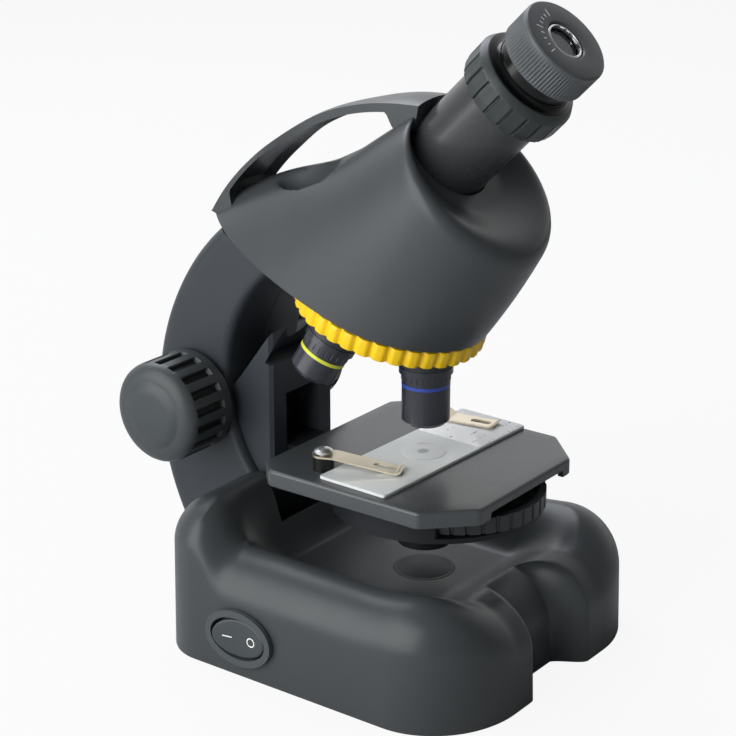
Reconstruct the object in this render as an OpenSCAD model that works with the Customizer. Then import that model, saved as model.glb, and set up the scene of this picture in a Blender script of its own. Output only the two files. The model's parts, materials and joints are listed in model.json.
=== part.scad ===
// Student microscope with an inclined eyepiece, a carry handle, a three-lens turret,
// a rack-focused stage and a battery lamp in the base. Millimetres, +Z up.
// The optical axis is x = 0, y = 0; the eyepiece side is -Y and the arm is at +Y.
// The underside of the base is z = 0.

/* [Base] */
// Half of the width of the base
base_half_w = 58; // [52:0.5:71]
// How far the base reaches in front of the optical axis
base_front = 53.3; // [50:0.1:64]
// How far the base reaches behind the optical axis
base_back = 67; // [64:0.5:76]
// Height of the side wings
wing_h = 38; // [32:0.5:45]
// Height of the raised deck behind the stage
deck_h = 52; // [48:0.5:53]
// Height of the valley floor under the stage
valley_h = 25; // [21:0.5:25]
// Radius that rounds the top edge of the base
edge_round = 15; // [10:0.5:16]
// Depth of the notch between the two front lobes
notch_depth = 9.6; // [4:0.1:12]
// Wall thickness of the base shell
base_wall = 2.4; // [1.8:0.1:3]

/* [Arm] */
// Half of the width of the arm
arm_half_w = 19.5; // [17:0.5:22]
// Radius of the arm's back curve
arm_out_r = 86.2; // [84:0.1:89]
// Radius of the arm's front curve
arm_in_r = 49.9; // [47:0.1:52]
// Wall thickness of the arm shells
arm_wall = 2.4; // [1.8:0.1:3]
// Half of the width of the rail housing
rail_half_w = 16.2; // [14:0.1:18]
// Front face of the rail housing, behind the optical axis
rail_front = 50; // [48:0.5:52]

/* [Focus] */
// Focus shaft behind the optical axis
focus_y = 79.5; // [77:0.5:81]
// Height of the focus shaft
focus_h = 72.8; // [68:0.2:76]
// Radius of the focus shaft
shaft_r = 3; // [2:0.25:4]
// Radius of each focus knob
knob_r = 17; // [12:0.2:20]
// Length of each focus knob
knob_len = 23; // [16:0.5:28]
// Gear module of the pinion and rack
gear_module = 0.8; // [0.6:0.05:1]
// Teeth on the pinion
pinion_teeth = 12; // [10:1:14]

/* [Stage] */
// Height of the top of the stage
stage_h = 64.4; // [62:0.2:67]
// Width of the stage
stage_w = 79.3; // [70:0.5:96]
// Depth of the stage
stage_d = 77.2; // [72:0.5:84]
// Thickness of the stage edge
stage_edge = 5.5; // [4.5:0.25:7]
// Thickness of the stage's top skin
stage_skin = 2.8; // [2:0.1:3.5]
// Radius of the light hole in the stage
stage_hole_r = 8; // [5:0.5:12]
// Radius of the diaphragm wheel
wheel_r = 28; // [24:0.5:30]
// Outer radius of the condenser ring
condenser_r = 8.85; // [7:0.05:12]
// Length of the specimen slide
slide_len = 76; // [70:1:78]
// Width of the specimen slide
slide_wid = 26; // [24:0.5:27]
// Thickness of the specimen slide
slide_thk = 1; // [0.8:0.1:1.5]

/* [Turret] */
// Turret axis behind the optical axis
turret_y = 14.4; // [12:0.1:16]
// Height of the turret's underside at its axis
turret_h = 108.6; // [106:0.2:114]
// Tilt of the turret axis
turret_tilt = 17.5; // [14:0.5:20]
// Outer radius of the grip ring
ring_r = 31.3; // [28:0.1:32]
// Height of the grip ring
ring_thk = 5.7; // [4:0.1:7]
// Scallops round the grip ring
ring_scallops = 36; // [24:1:48]
// Radius of each objective barrel
objective_r = 7.75; // [6:0.05:8.5]
// Lengths of the high, low and medium objectives below the turret face
objective_len = [28, 17.5, 22.8];

/* [Head] */
// Height of the light path's fold above the turret
fold_up = 47.4; // [44:0.2:56]
// Tilt of the eyepiece from vertical
tube_tilt = 45; // [40:1:50]
// Half of the width of the head at its rim
head_half_w = 31.4; // [30:0.1:34]
// How far the head's rim reaches in front of the turret axis
head_front = 31.6; // [30:0.1:34]
// How far the head's tail reaches behind the turret axis
head_tail = 75; // [70:0.5:84]
// Radius of the head's face round the eyepiece tube
face_r = 29; // [27:0.1:31]
// Wall thickness of the head shell
head_wall = 2.4; // [1.8:0.1:3]
// Half of the width of the carry handle
handle_half_w = 7; // [6:0.5:10]

/* [Eyepiece] */
// Outer radius of the eyepiece tube
tube_r = 13.75; // [12:0.05:15]
// Length of tube between the head's face and the collar
tube_out = 24; // [18:0.1:28]
// Wall thickness of the eyepiece tube
tube_wall = 1.45; // [1.2:0.05:2]
// Outer radius of the ribbed collar
collar_r = 17; // [15.5:0.1:20]
// Length of the ribbed collar
collar_len = 11.2; // [8:0.1:15]
// Length of barrel that shows between collar and cap
neck_len = 5.7; // [4.6:0.1:10]
// Radius of the eyepiece cap
cap_r = 14.15; // [13.2:0.05:16]
// Length of the eyepiece cap
cap_len = 10.6; // [9:0.1:15]

/* [Hidden] */

eps = 0.01;
seat = 0.15;          // gap between two fixed mouldings
slip = 0.3;           // gap between sliding flats
running = 0.06;       // radial clearance of a turning fit
shell_colour = "#4b5053";
dark_colour = "#2b2f33";

// ---- shared helpers ----

function clamp01(t) = max(0, min(1, t));
function ease(t) = let (u = clamp01(t)) u * u * (3 - 2 * u);
function mix(a, b, t) = a + (b - a) * t;

// Triangles between rings of equal size; a closed list joins its last ring to its first.
function band(i, j, n) = [
  for (k = [0:n - 1]) let (m = (k + 1) % n)
    each [[i * n + k, j * n + m, i * n + m], [i * n + k, j * n + k, j * n + m]]
];
module skin(rings, closed = false) {
  n = len(rings[0]);
  m = len(rings);
  points = [for (r = rings) each r];
  first = [for (k = [1:n - 2]) [0, k, k + 1]];
  last = [for (k = [1:n - 2]) [(m - 1) * n, (m - 1) * n + k + 1, (m - 1) * n + k]];
  walls = [for (i = [0:m - 2]) each band(i, i + 1, n)];
  polyhedron(points, concat(walls, closed ? band(m - 1, 0, n) : concat(first, last)));
}

// A round tube swept along a list of points.
function unit(v) = v / norm(v);
function heading(p, i) = unit(p[min(i + 1, len(p) - 1)] - p[max(i - 1, 0)]);
module sweep(path, r, sides = 6) {
  rings = [for (i = [0:len(path) - 1])
    let (t = heading(path, i), u = unit(cross(t, [0.1, 0.2, 1])), v = cross(t, u))
      [for (k = [0:sides - 1])
        path[i] + r * (cos(360 * k / sides) * u + sin(360 * k / sides) * v)]];
  skin(rings);
}

// A 2D outline in (y, z), extruded from x0 to x1.
module side_extrude(x0, x1) {
  translate([x0, 0, 0]) rotate([90, 0, 90]) linear_extrude(x1 - x0) children();
}
module pipe(r_out, r_in, z0, z1) {
  difference() {
    translate([0, 0, z0]) cylinder(h = z1 - z0, r = r_out, $fn = 96);
    translate([0, 0, z0 - 1]) cylinder(h = z1 - z0 + 2, r = r_in, $fn = 96);
  }
}
module rod(r, z0, z1) {
  translate([0, 0, z0]) cylinder(h = z1 - z0, r = r, $fn = 64);
}
// A pan-head screw that points up, its head's underside at z = 0.
module screw(head_r, head_h, r, length) {
  difference() {
    union() {
      rod(head_r, -head_h, 0);
      rod(r, -eps, length);
    }
    for (a = [0, 90]) rotate([0, 0, a])
      translate([-head_r * 0.6, -0.3, -head_h - eps]) cube([head_r * 1.2, 0.6, head_h * 0.4]);
  }
}
// An oval outline.
function oval(a, b, n = 48) = [for (k = [0:n - 1]) [a * cos(360 * k / n), b * sin(360 * k / n)]];

// ---- base ----

front_rx = 31.3;               // plan radii of the front corners
front_ry = 28;
back_r = 17;                   // plan radius of the back corners
notch_flat = 8.5;                // half width of the notch's floor, and of each of its sides
wall_draft = 0.6;
valley_half = 22;              // where the wings start to rise, and over what width
wing_slope = 22;
sill_rise = 7;                 // the valley's sill behind the notch
lobe_rise = 2;
deck_start = base_back - 29;
deck_slope = 14;
skin_drop = 3;                 // vertical thickness of the sloping top skin
centre_y = 6;
plate_thk = 2.4;

// Each outline point is [x, y, normal x, normal y], from the front centre to the back centre.
function corner(cx, cy, rx, ry, a0, n) = [
  for (k = [0:n]) let (a = a0 + 90 * k / n, m = norm([cos(a) / rx, sin(a) / ry]))
    [cx + rx * cos(a), cy + ry * sin(a), cos(a) / rx / m, sin(a) / ry / m]
];
base_half = concat(
  [for (k = [0:9]) [(base_half_w - front_rx) * k / 10, -base_front, 0, -1]],
  corner(base_half_w - front_rx, front_ry - base_front, front_rx, front_ry, -90, 6),
  [for (k = [1:5]) [base_half_w, mix(front_ry - base_front, base_back - back_r, k / 6), 1, 0]],
  corner(base_half_w - back_r, base_back - back_r, back_r, back_r, 0, 4),
  [for (k = [1:2]) [(base_half_w - back_r) * (1 - k / 3), base_back, 0, 1]],
  [[0, base_back, 0, 1]]
);
base_outline = concat(
  base_half,
  [for (k = [len(base_half) - 2:-1:1]) let (p = base_half[k]) [-p[0], p[1], -p[2], p[3]]]
);
function notch_at(p) = p[1] < 0 ? notch_depth * (1 - ease((abs(p[0]) - notch_flat) / notch_flat)) : 0;
function inset_pt(p, t) = [p[0] - p[2] * t, p[1] - p[3] * t + notch_at(p)];
// Height of the base's top over the plan.
function base_top(p) = let (
  wing = wing_h + lobe_rise * ease((-p[1] - 10) / 25),
  sill = valley_h + sill_rise * ease((-p[1] - 16) / 20),
  side = ease((abs(p[0]) - valley_half) / wing_slope)
) mix(mix(sill, wing, side), deck_h, ease((p[1] - deck_start) / deck_slope));

function base_ring(inset, angle) = [
  for (p = base_outline) let (
    r = edge_round - inset,
    h = base_top(inset_pt(p, edge_round)) - inset,
    q = inset_pt(p, inset + wall_draft + (r - wall_draft) * (1 - cos(angle)))
  ) [q[0], q[1], h - r * (1 - sin(angle))]
];
function base_foot(inset) = [for (p = base_outline) let (q = inset_pt(p, inset)) [q[0], q[1], 0]];
function base_inner(s, drop) = [
  for (p = base_outline) let (
    c = inset_pt(p, edge_round), q = [c[0] * s, centre_y + (c[1] - centre_y) * s]
  ) [q[0], q[1], base_top(q) - drop]
];
shrink = [0.9, 0.78, 0.64, 0.48, 0.3, 0.12];

switch_y = 30.2;
switch_z = 13.9;
lamp_r = 10;
boss_at = [[-45, -26], [45, -26], [-46, 44], [46, 44]];
boss_r = 3.6;

module base_bosses() {
  for (p = boss_at) translate([p[0], p[1], 0])
    rod(boss_r, plate_thk + seat, base_top(p) - skin_drop + 1);
}
module base_skin() {
  skin(concat(
    [for (k = [len(shrink) - 1:-1:0]) base_inner(shrink[k], skin_drop)],
    [for (a = [90, 45, 0]) base_ring(base_wall, a)],
    [base_foot(base_wall), base_foot(0)],
    [for (a = [0, 22.5, 45, 67.5, 90]) base_ring(0, a)],
    [for (s = shrink) base_inner(s, 0)]
  ));
}
module base_shell() {
  color(shell_colour) difference() {
    union() {
      difference() {
        base_skin();
        rod(lamp_r + 0.1, 10, 40);
      }
      base_bosses();
    }
    for (p = boss_at) translate([p[0], p[1], 0]) rod(1.3, -1, 15);
    at_switch() oval_prism(12, 8.2, -8, 8);
    arm_slot();
    carriage_channel();
  }
}
// The arm and rail housing plug in at the back.
module arm_slot() {
  gap = seat;
  translate([-rail_half_w - gap, rail_front - gap, -1])
    cube([2 * (rail_half_w + gap), base_back, deck_h + 20]);
  translate([-arm_half_w - gap, arm_floor_y - gap, -1])
    cube([2 * (arm_half_w + gap), base_back, deck_h + 20]);
}
module carriage_channel() {
  translate([-slider_half_w - 1, rail_front - 12, stage_h - 23])
    cube([2 * slider_half_w + 2, 20, 30]);
}

plate_inset = base_wall + 0.4;
foot_r = 5;
foot_thk = 1.2;
foot_at = [[-42, -36], [42, -36], [-44, 54], [44, 54]];
cell_r = 5.25;
cell_len = 44.5;
cell_pitch = 11.5;
cell_y = 19;
door_half_w = 26;
tray_wall = 1.2;
door_y0 = cell_y - cell_pitch / 2 - 1;
door_y1 = cell_y + 2.5 * cell_pitch + 1;
tray_x = cell_len / 2 + 3;
board_z = 12.4;

module base_plate() {
  color(dark_colour) difference() {
    union() {
      linear_extrude(plate_thk) intersection() {
        polygon([for (p = base_outline) inset_pt(p, plate_inset)]);
        difference() {
          square([400, 400], center = true);
          translate([-arm_half_w - 0.5, rail_front - 0.5]) square([2 * arm_half_w + 1, 60]);
        }
      }
      for (s = [-1, 1]) {
        translate([s * 9, 0, 0]) rod(2.2, plate_thk - eps, board_z);
        translate([s > 0 ? tray_x : -tray_x - tray_wall, door_y0 + 1, plate_thk - eps])
          cube([tray_wall, door_y1 - door_y0 - 2, 12]);
      }
    }
    translate([-door_half_w, door_y0, -1]) {
      translate([2, 1.5, 0]) cube([2 * door_half_w - 4, door_y1 - door_y0 - 3, 4]);
      cube([2 * door_half_w, door_y1 - door_y0, 2]);
    }
    translate([0, door_screw_y, -1]) rod(1.3, 0, 10);
    translate([0, door_screw_y, 0]) rod(3.2, -1, 0.5);
    for (p = foot_at) translate([p[0], p[1], -1]) rod(foot_r + 0.1, 0, 1 + foot_thk);
    for (p = boss_at) translate([p[0], p[1], -1]) {
      rod(1.5, 0, 10);
      rod(3, 0, 2.2);
    }
  }
}
door_screw_y = door_y0 - 2.2;
module battery_door() {
  color(dark_colour) difference() {
    translate([-door_half_w + seat, door_y0 + seat, 0])
      cube([2 * (door_half_w - seat), door_y1 - door_y0 - 2 * seat, 0.85]);
    for (k = [-3:3]) translate([-9, door_y1 - 8 + k * 1.6, -eps]) cube([18, 0.7, 0.3]);
    translate([0, door_screw_y, 0]) rod(3.2, -1, 0.5);
  }
}
module door_screw() {
  color("silver") translate([0, door_screw_y, 0.5]) screw(3, 0.45, 1.2, 4);
}
module battery_cells() {
  color("#c9a227") for (k = [0:2])
    translate([-cell_len / 2, cell_y + k * cell_pitch, 1.4 + cell_r]) rotate([0, 90, 0]) {
      rod(cell_r, 0, cell_len - 1);
      rod(1.9, cell_len - 1 - eps, cell_len);
    }
}
module battery_contacts() {
  color("silver") for (s = [-1, 1]) {
    translate([s > 0 ? tray_x - 0.5 : -tray_x, cell_y - 5, plate_thk + 0.6])
      cube([0.5, 2 * cell_pitch + 10, 9]);
    for (k = [0:2]) translate([s * (tray_x - 0.5 + eps), cell_y + k * cell_pitch, 1.4 + cell_r])
      rotate([0, -s * 90, 0]) cylinder(h = 2.2, r1 = 3.4, r2 = 1.6, $fn = 32);
  }
}
module rubber_feet() {
  color("#1c1d1e") for (p = foot_at) translate([p[0], p[1], 0]) difference() {
    rod(foot_r, 0, foot_thk);
    translate([0, 0, -eps]) pipe(foot_r - 1.4, foot_r - 2.2, 0, 0.4);
  }
}
module base_screws() {
  color("silver") for (p = boss_at) translate([p[0], p[1], 1.15]) screw(2.7, 1, 1.25, 11);
}
module led_board() {
  color("#1f6b3a") difference() {
    translate([-13, -8, board_z]) cube([26, 16, 1.6]);
    for (s = [-1, 1]) translate([s * 9, 0, board_z - 1]) rod(1, 0, 4);
  }
}
led_r = 2.5;
module led_lamp() {
  color("white") translate([0, 0, board_z + 1.6]) {
    rod(led_r + 0.4, 0, 1);
    rod(led_r, 1 - eps, 4);
    translate([0, 0, 4 - eps]) intersection() {
      sphere(r = led_r, $fn = 48);
      rod(led_r, 0, led_r);
    }
  }
}
module lamp_window() {
  color([0.9, 0.95, 1, 0.6]) translate([0, 0, valley_h]) {
    rod(lamp_r - 0.05, -skin_drop - 0.2, 0.1);
    translate([0, 0, 0.1 - 40]) intersection() {
      sphere(r = 41, $fn = 128);
      rod(lamp_r - 1.5, 40 - eps, 42);
    }
  }
}
// A rocker switch: the oval bezel in the left wall, its body behind and the rocker.
module at_switch() {
  translate([-base_half_w, switch_y, switch_z]) rotate([0, 0, 90]) rotate([90, 0, 0]) rotate([0, 180, 0])
    children();
}
bezel_a = 13.2;
bezel_b = 9.4;
well_a = 11;
well_b = 7;
module oval_prism(a, b, z0, z1) {
  translate([0, 0, z0]) linear_extrude(z1 - z0) polygon(oval(a, b));
}
module switch_bezel() {
  color("#25282b") at_switch() difference() {
    union() {
      oval_prism(bezel_a, bezel_b, 0.05, 1.6);
      oval_prism(11.85, 8.05, -3.4, 0.1);
    }
    oval_prism(well_a, well_b, -4, 2);
  }
}
module switch_body() {
  color("#202224") at_switch() difference() {
    union() {
      oval_prism(11.85, 8.05, -5, -3.5);
      translate([-8, -6, -17]) cube([16, 12, 12.2]);
      for (s = [-1, 0, 1]) translate([s * 5 - 1, -0.4, -21]) cube([2, 0.8, 4.2]);
    }
    translate([-7, -5, -9]) cube([14, 10, 6]);
  }
  color("silver") at_switch() translate([0, 0, rocker_pivot]) rotate([90, 0, 0])
    cylinder(h = 10, r = 0.8 - running, center = true, $fn = 24);
}
rocker_tilt = -5;
rocker_pivot = -4.2;
module rocker_switch() {
  color("#2f3336") at_switch() translate([0, 0, rocker_pivot]) rotate([0, rocker_tilt, 0])
    difference() {
      union() {
        difference() {
          oval_prism(well_a - 1, well_b - 0.4, 2, 5.6);
          translate([0, 0, 28.2]) rotate([90, 0, 0])
            cylinder(h = 40, r = 25, center = true, $fn = 128);
        }
        translate([-2, -4.4, -3]) cube([4, 8.8, 5.1]);
      }
      rotate([90, 0, 0]) cylinder(h = 20, r = 0.8, center = true, $fn = 24);
    }
}
wire_r = 0.7;
wire_x = 21.8 - base_half_w;    // where the wires leave the switch
wire_paths = [
  [[wire_x, 30.2, 14], [-33, 30, 15.5], [-30, 26, 16.5], [-28.5, 22, 14.5], [-28, 19, 12.6]],
  [[wire_x, 25.2, 14], [wire_x + 2, 21, 16], [-30, 12, 17], [-22, 4, 16.5], [-12, 3, 15.2], [-10, 3, 14.8]],
  [[28, 19, 12.6], [28.5, 14, 14], [25, 8, 15.5], [18, 4, 16], [12, 3, 15.2], [10, 3, 14.8]]
];
module wires() {
  color("firebrick") for (p = wire_paths) sweep(p, wire_r);
}

// ---- arm and rail ----

arm_out_c = [13.3, 67.6];       // centres of the back and front curves, as (y, z)
arm_in_c = [16.9, 81.5];
arm_top_y = 44;
arm_foot_z = plate_thk + seat;
arm_floor_y = 52.6;
back_round = 6;
front_round = 3;
rim_lift = 0.7;                 // the head's rim above the grip ring
rim_z = ring_thk + rim_lift;

// Height of a plane parallel to the turret face, at depth y.
function turret_plane(y, lift) =
  turret_h + (lift + (y - turret_y) * sin(turret_tilt)) / cos(turret_tilt);

module round_disc(r, half_w, round_r) {
  n = 5;
  rotate([0, 90, 0]) rotate_extrude($fn = 180) polygon(concat(
    [[0, 0], [r, 0]],
    [for (k = [0:n]) let (a = 90 * k / n)
      [r - round_r * (1 - cos(a)), half_w - round_r * (1 - sin(a))]],
    [[0, half_w]]
  ));
}
module flared_bore(r, half_w, round_r) {
  n = 4;
  rotate([0, 90, 0]) rotate_extrude($fn = 180) polygon(concat(
    [[0, -1], [r, -1]],
    [for (k = [0:n]) let (a = 90 * k / n)
      [r + round_r * (1 - cos(a)), half_w - round_r * (1 - sin(a))]],
    [[r + round_r, half_w + 1], [0, half_w + 1]]
  ));
}
module arm_window(inset) {
  polygon([
    [arm_floor_y + inset, arm_foot_z + inset], [140, arm_foot_z + inset],
    [140, turret_plane(140, rim_z - 0.2 - inset)],
    [arm_top_y + inset, turret_plane(arm_top_y + inset, rim_z - 0.2 - inset)],
    [arm_top_y + inset, 90], [arm_floor_y + inset, 60]
  ]);
}
// The right half of the arm, x > 0, drawn smaller all round by inset.
module arm_body(inset) {
  intersection() {
    difference() {
      translate([0, arm_out_c[0], arm_out_c[1]])
        round_disc(arm_out_r - inset, arm_half_w - inset, back_round - inset);
      translate([0, arm_in_c[0], arm_in_c[1]])
        flared_bore(arm_in_r + inset, arm_half_w - inset, front_round);
    }
    side_extrude(-1, 60) arm_window(inset);
  }
}
arm_boss_at = [[79, 107], [90, 56], [62, 16]];
// The arm is two half shells that meet at x = 0. A positive side is the right one.
module arm_half(side) {
  mirror([side > 0 ? 0 : 1, 0, 0]) difference() {
    union() {
      difference() {
        arm_body(0);
        arm_body(arm_wall);
      }
      intersection() {
        arm_body(0.5);
        for (p = arm_boss_at) translate([0, p[0], p[1]]) rotate([0, 90, 0]) rod(3.4, 0, arm_half_w);
      }
    }
    translate([-1, -200, -10]) cube([1.05, 400, 300]);
    translate([-1, rail_front - 2, stage_h - 26]) cube([slider_half_w + slip + 1.1, 26, 56]);
    translate([0, focus_y, focus_h]) rotate([0, 90, 0]) rod(bush_r + 0.1, 10, 30);
    for (p = arm_boss_at) translate([0, p[0], p[1]]) rotate([0, 90, 0]) {
      rod(1.35, -1, side > 0 ? 40 : 14);
      if (side > 0) rod(3, arm_half_w - 2.6, 40);
    }
    for (s = [0, 1]) head_screw_place(s) rod(1.5, -30, 30);
    in_turret() rod(ring_r + 0.6, -0.6, ring_thk + 0.6);
  }
}
module arm_left() { color(shell_colour) arm_half(-1); }
module arm_right() { color(shell_colour) arm_half(1); }
module arm_screws() {
  color("silver") for (p = arm_boss_at) translate([arm_half_w - 2.5, p[0], p[1]])
    rotate([0, -90, 0]) screw(2.7, 1.6, 1.3, arm_half_w + 9);
}

slot_half_w = 8.6;
slider_half_w = slot_half_w - slip;
slot_top = 77.2;
objective_reach = objective_r + 1.2;    // widest part of an objective, from its own axis
pivot_r = turret_y / cos(turret_tilt);  // the objectives' circle on the turret
module rail_housing() {
  color(shell_colour) difference() {
    intersection() {
      side_extrude(-rail_half_w, rail_half_w) polygon([
        [rail_front, deck_h - 18], [rail_front, 100], [rail_front + 13, 82.6],
        [rail_front + 17, 78], [rail_front + 17, deck_h - 18]
      ]);
      translate([0, arm_in_c[0], arm_in_c[1]]) rotate([0, 90, 0])
        cylinder(h = 60, r = arm_in_r - seat, center = true, $fn = 180);
    }
    translate([-slot_half_w, rail_front - 5, stage_h - 40])
      cube([2 * slot_half_w, 12.5, slot_top - stage_h + 40]);
    translate([-slot_half_w, rail_front + 7, stage_h - 40]) cube([2 * slot_half_w, 20, 68]);
    turret_sweep(0.8);
    for (s = [-1, 1]) translate([s * rail_half_w, rail_front, 60]) rotate([0, 0, 45])
      cube([1.6, 1.6, 120], center = true);
  }
}
// The space that the objectives pass through as the turret turns.
module turret_sweep(gap) {
  depth = objective_len[0] * cos(turret_tilt) + objective_r * sin(turret_tilt) + gap;
  top_r = pivot_r + objective_reach / cos(turret_tilt) + gap;
  in_turret() translate([0, 0, -depth])
    cylinder(h = depth + 12, r1 = top_r + depth * tan(turret_tilt), r2 = top_r, $fn = 128);
}
bush_r = 5;
module shaft_bushes() {
  color("#c8b560") for (s = [-1, 1]) translate([s * (arm_half_w - 1.1), focus_y, focus_h])
    rotate([0, 90, 0]) pipe(bush_r, shaft_r + running, -1.7, 1.7);
}

// ---- focus drive ----

knob_gap = 0.9;
knob_x0 = arm_half_w + knob_gap;
knob_flutes = 18;
pitch_r = gear_module * pinion_teeth / 2;
tooth_pitch = PI * gear_module;
pinion_half_w = 4;

module focus_shaft() {
  color("silver") translate([0, focus_y, focus_h]) rotate([0, 90, 0])
    rod(shaft_r, -knob_x0 - knob_len + 5, knob_x0 + knob_len - 5);
}
// Straight-flanked teeth, thinned for backlash; a gap faces the rack at rest.
module focus_pinion() {
  root = pitch_r - 1.15 * gear_module;
  tip = pitch_r + 0.85 * gear_module;
  step = 360 / pinion_teeth;
  outline = [for (k = [0:pinion_teeth - 1]) let (a = 180 + (k + 0.5) * step)
    each [
      root * [cos(a - 0.24 * step), sin(a - 0.24 * step)],
      tip * [cos(a - 0.09 * step), sin(a - 0.09 * step)],
      tip * [cos(a + 0.09 * step), sin(a + 0.09 * step)],
      root * [cos(a + 0.24 * step), sin(a + 0.24 * step)]
    ]];
  color("#d9d2c0") difference() {
    side_extrude(-pinion_half_w, pinion_half_w) translate([focus_y, focus_h]) polygon(outline);
    translate([0, focus_y, focus_h]) rotate([0, 90, 0]) rod(shaft_r + 0.03, -10, 10);
  }
}
// A knob that points along +Z from its inner face, with a domed end and recessed flutes.
module knob() {
  edge = 3;
  dome = 1;
  difference() {
    rotate_extrude($fn = 128) polygon(concat(
      [[0, 0], [knob_r - 0.8, 0], [knob_r, 0.8], [knob_r, knob_len - edge]],
      [for (k = [1:4]) let (a = 90 * k / 4)
        [knob_r - edge + edge * cos(a), knob_len - edge + (edge - dome) * sin(a)]],
      [[knob_r / 2, knob_len - dome * 0.3], [0, knob_len]]
    ));
    for (k = [0:knob_flutes - 1]) rotate([0, 0, 360 * (k + 0.5) / knob_flutes])
      translate([knob_r - 1.3, -1.1, 6.5]) cube([3, 2.2, knob_len - 10.5]);
    rod(shaft_r + 0.03, -1, knob_len - 4.5);
    translate([0, 0, 3]) rotate([90, 0, 0]) rod(1, 0, knob_r + 1);
  }
}
module knob_left() {
  color(dark_colour) translate([-knob_x0, focus_y, focus_h]) rotate([0, -90, 0]) knob();
}
module knob_right() {
  color(dark_colour) translate([knob_x0, focus_y, focus_h]) rotate([0, 90, 0]) knob();
}

// ---- stage ----

stage_z0 = stage_h - stage_edge;
skirt = 2.2;
front_cut = 13.8;
rear_cut = 6;
housing_r = 34.5;
housing_y = -5;
housing_wall = 1.6;
housing_z0 = stage_z0 - 8.7;
housing_z1 = stage_z0 - 0.2;
wheel_y = -13;
boss_ring_r = 30.5;
clip_at = [28.5, 19.2];
slider_y0 = rail_front + 10;
rack_y = focus_y - pitch_r;

function stage_outline(t) = let (w = stage_w / 2 - t, d = stage_d / 2 - t, k = t * (2 - sqrt(2))) [
  [-w + front_cut - k, -d], [w - front_cut + k, -d], [w, -d + front_cut - k],
  [w, d - rear_cut + k], [w - rear_cut + k, d], [-w + rear_cut - k, d],
  [-w, d - rear_cut + k], [-w, -d + front_cut - k]
];
stage_screw_x = 13;
stage_screw_y = 34.5;
module stage_plate() {
  color("#55595c") difference() {
    union() {
      difference() {
        translate([0, 0, stage_z0]) linear_extrude(stage_edge) polygon(stage_outline(0));
        translate([0, 0, stage_z0 - 1]) linear_extrude(stage_edge - stage_skin + 1)
          polygon(stage_outline(skirt));
      }
      translate([0, housing_y, 0]) intersection() {
        pipe(boss_ring_r, boss_ring_r - 2, stage_z0, stage_h - stage_skin + eps);
        translate([-50, -22, 0]) cube([100, 100, 200]);
      }
      for (s = [-1, 1]) translate([s * stage_screw_x, stage_screw_y, 0])
        rod(3.4, stage_z0, stage_h - 1);
      translate([-10, 30.8, stage_z0]) cube([20, 6, stage_edge - 1]);
    }
    translate([0, 0, stage_z0 - 1]) rod(stage_hole_r, 0, 20);
    translate([-20, -stage_d / 2 - 1, stage_z0 - 1]) cube([42, skirt + 2, 3.3]);
    for (s = [-1, 1]) {
      translate([s * stage_screw_x, stage_screw_y, stage_z0 - 1]) rod(1.3, 0, 4.6);
      translate([s * clip_at[0], clip_at[1], stage_z0 - 1]) rod(1.65, 0, 20);
    }
    translate([0, wheel_y, stage_z0]) rod(2.05, 0, stage_edge - 1);
  }
}
rack_top = focus_h + 13.5;
slider_top = slot_top + 0.8;
// The stage's slider: a bracket under the stage, a block in the slot and the rack.
module stage_carriage() {
  bracket_z0 = stage_z0 - 9;
  block_z0 = stage_z0 - 13;
  teeth_low = ceil((block_z0 + 1 - focus_h) / tooth_pitch);
  teeth_high = floor((rack_top - 1 - focus_h) / tooth_pitch);
  tooth = 0.85 * gear_module;
  color("#3a3e41") difference() {
    union() {
      translate([-slider_half_w, slider_y0, block_z0])
        cube([2 * slider_half_w, 9.2, slider_top - block_z0 - 0.4]);
      translate([-5, slider_y0 + 9.2 - eps, block_z0])
        cube([10, rack_y - 1.15 * gear_module - slider_y0 - 9.2, rack_top - block_z0]);
      side_extrude(-5, 5) for (k = [teeth_low:teeth_high])
        translate([rack_y, focus_h + k * tooth_pitch]) polygon([
          [-1.15 * gear_module - eps, -0.32 * tooth_pitch], [tooth, -0.1 * tooth_pitch],
          [tooth, 0.1 * tooth_pitch], [-1.15 * gear_module - eps, 0.32 * tooth_pitch]
        ]);
      translate([-slider_half_w, 31, bracket_z0])
        cube([2 * slider_half_w, slider_y0 - 31 + eps, stage_z0 - bracket_z0]);
      translate([-18, 31, stage_z0 - 4]) cube([36, 9, 4]);
    }
    for (s = [-1, 1]) translate([s * stage_screw_x, stage_screw_y, stage_z0 - 5]) rod(1.5, 0, 10);
    translate([-3, slider_y0 + 2, block_z0 - 1]) cube([6, 5, slider_top - block_z0 - 2]);
  }
}
module stage_screws() {
  color("silver") for (s = [-1, 1]) translate([s * stage_screw_x, stage_screw_y, stage_z0 - 4.02])
    screw(2.7, 1.5, 1.25, 7.2);
}
post_r = 3.4;
post_top = stage_h + 4.6;
clip_thk = 0.6;
module clip_posts() {
  color("#17181a") for (s = [-1, 1]) translate([s * clip_at[0], clip_at[1], 0])
    pipe(post_r, 1.65, stage_h, post_top);
}
module clip_screws() {
  top = post_top + clip_thk + 0.9;
  color("silver") for (s = [-1, 1]) translate([s * clip_at[0], clip_at[1], 0]) {
    difference() {
      union() {
        translate([0, 0, top - 0.25]) intersection() {
          translate([0, 0, -3.4]) sphere(r = 5, $fn = 64);
          rod(3, 0, 3);
        }
        rod(1.6, stage_h - stage_skin - 0.2, top);
      }
      translate([-2, -0.35, top + 0.85]) cube([4, 0.7, 2]);
    }
  }
}
clip_len = 25.6;
clip_w = 7.2;
clip_flat = 3.8;
slot_ends = [3.3, 8];
slot_r = 1.25;
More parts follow.
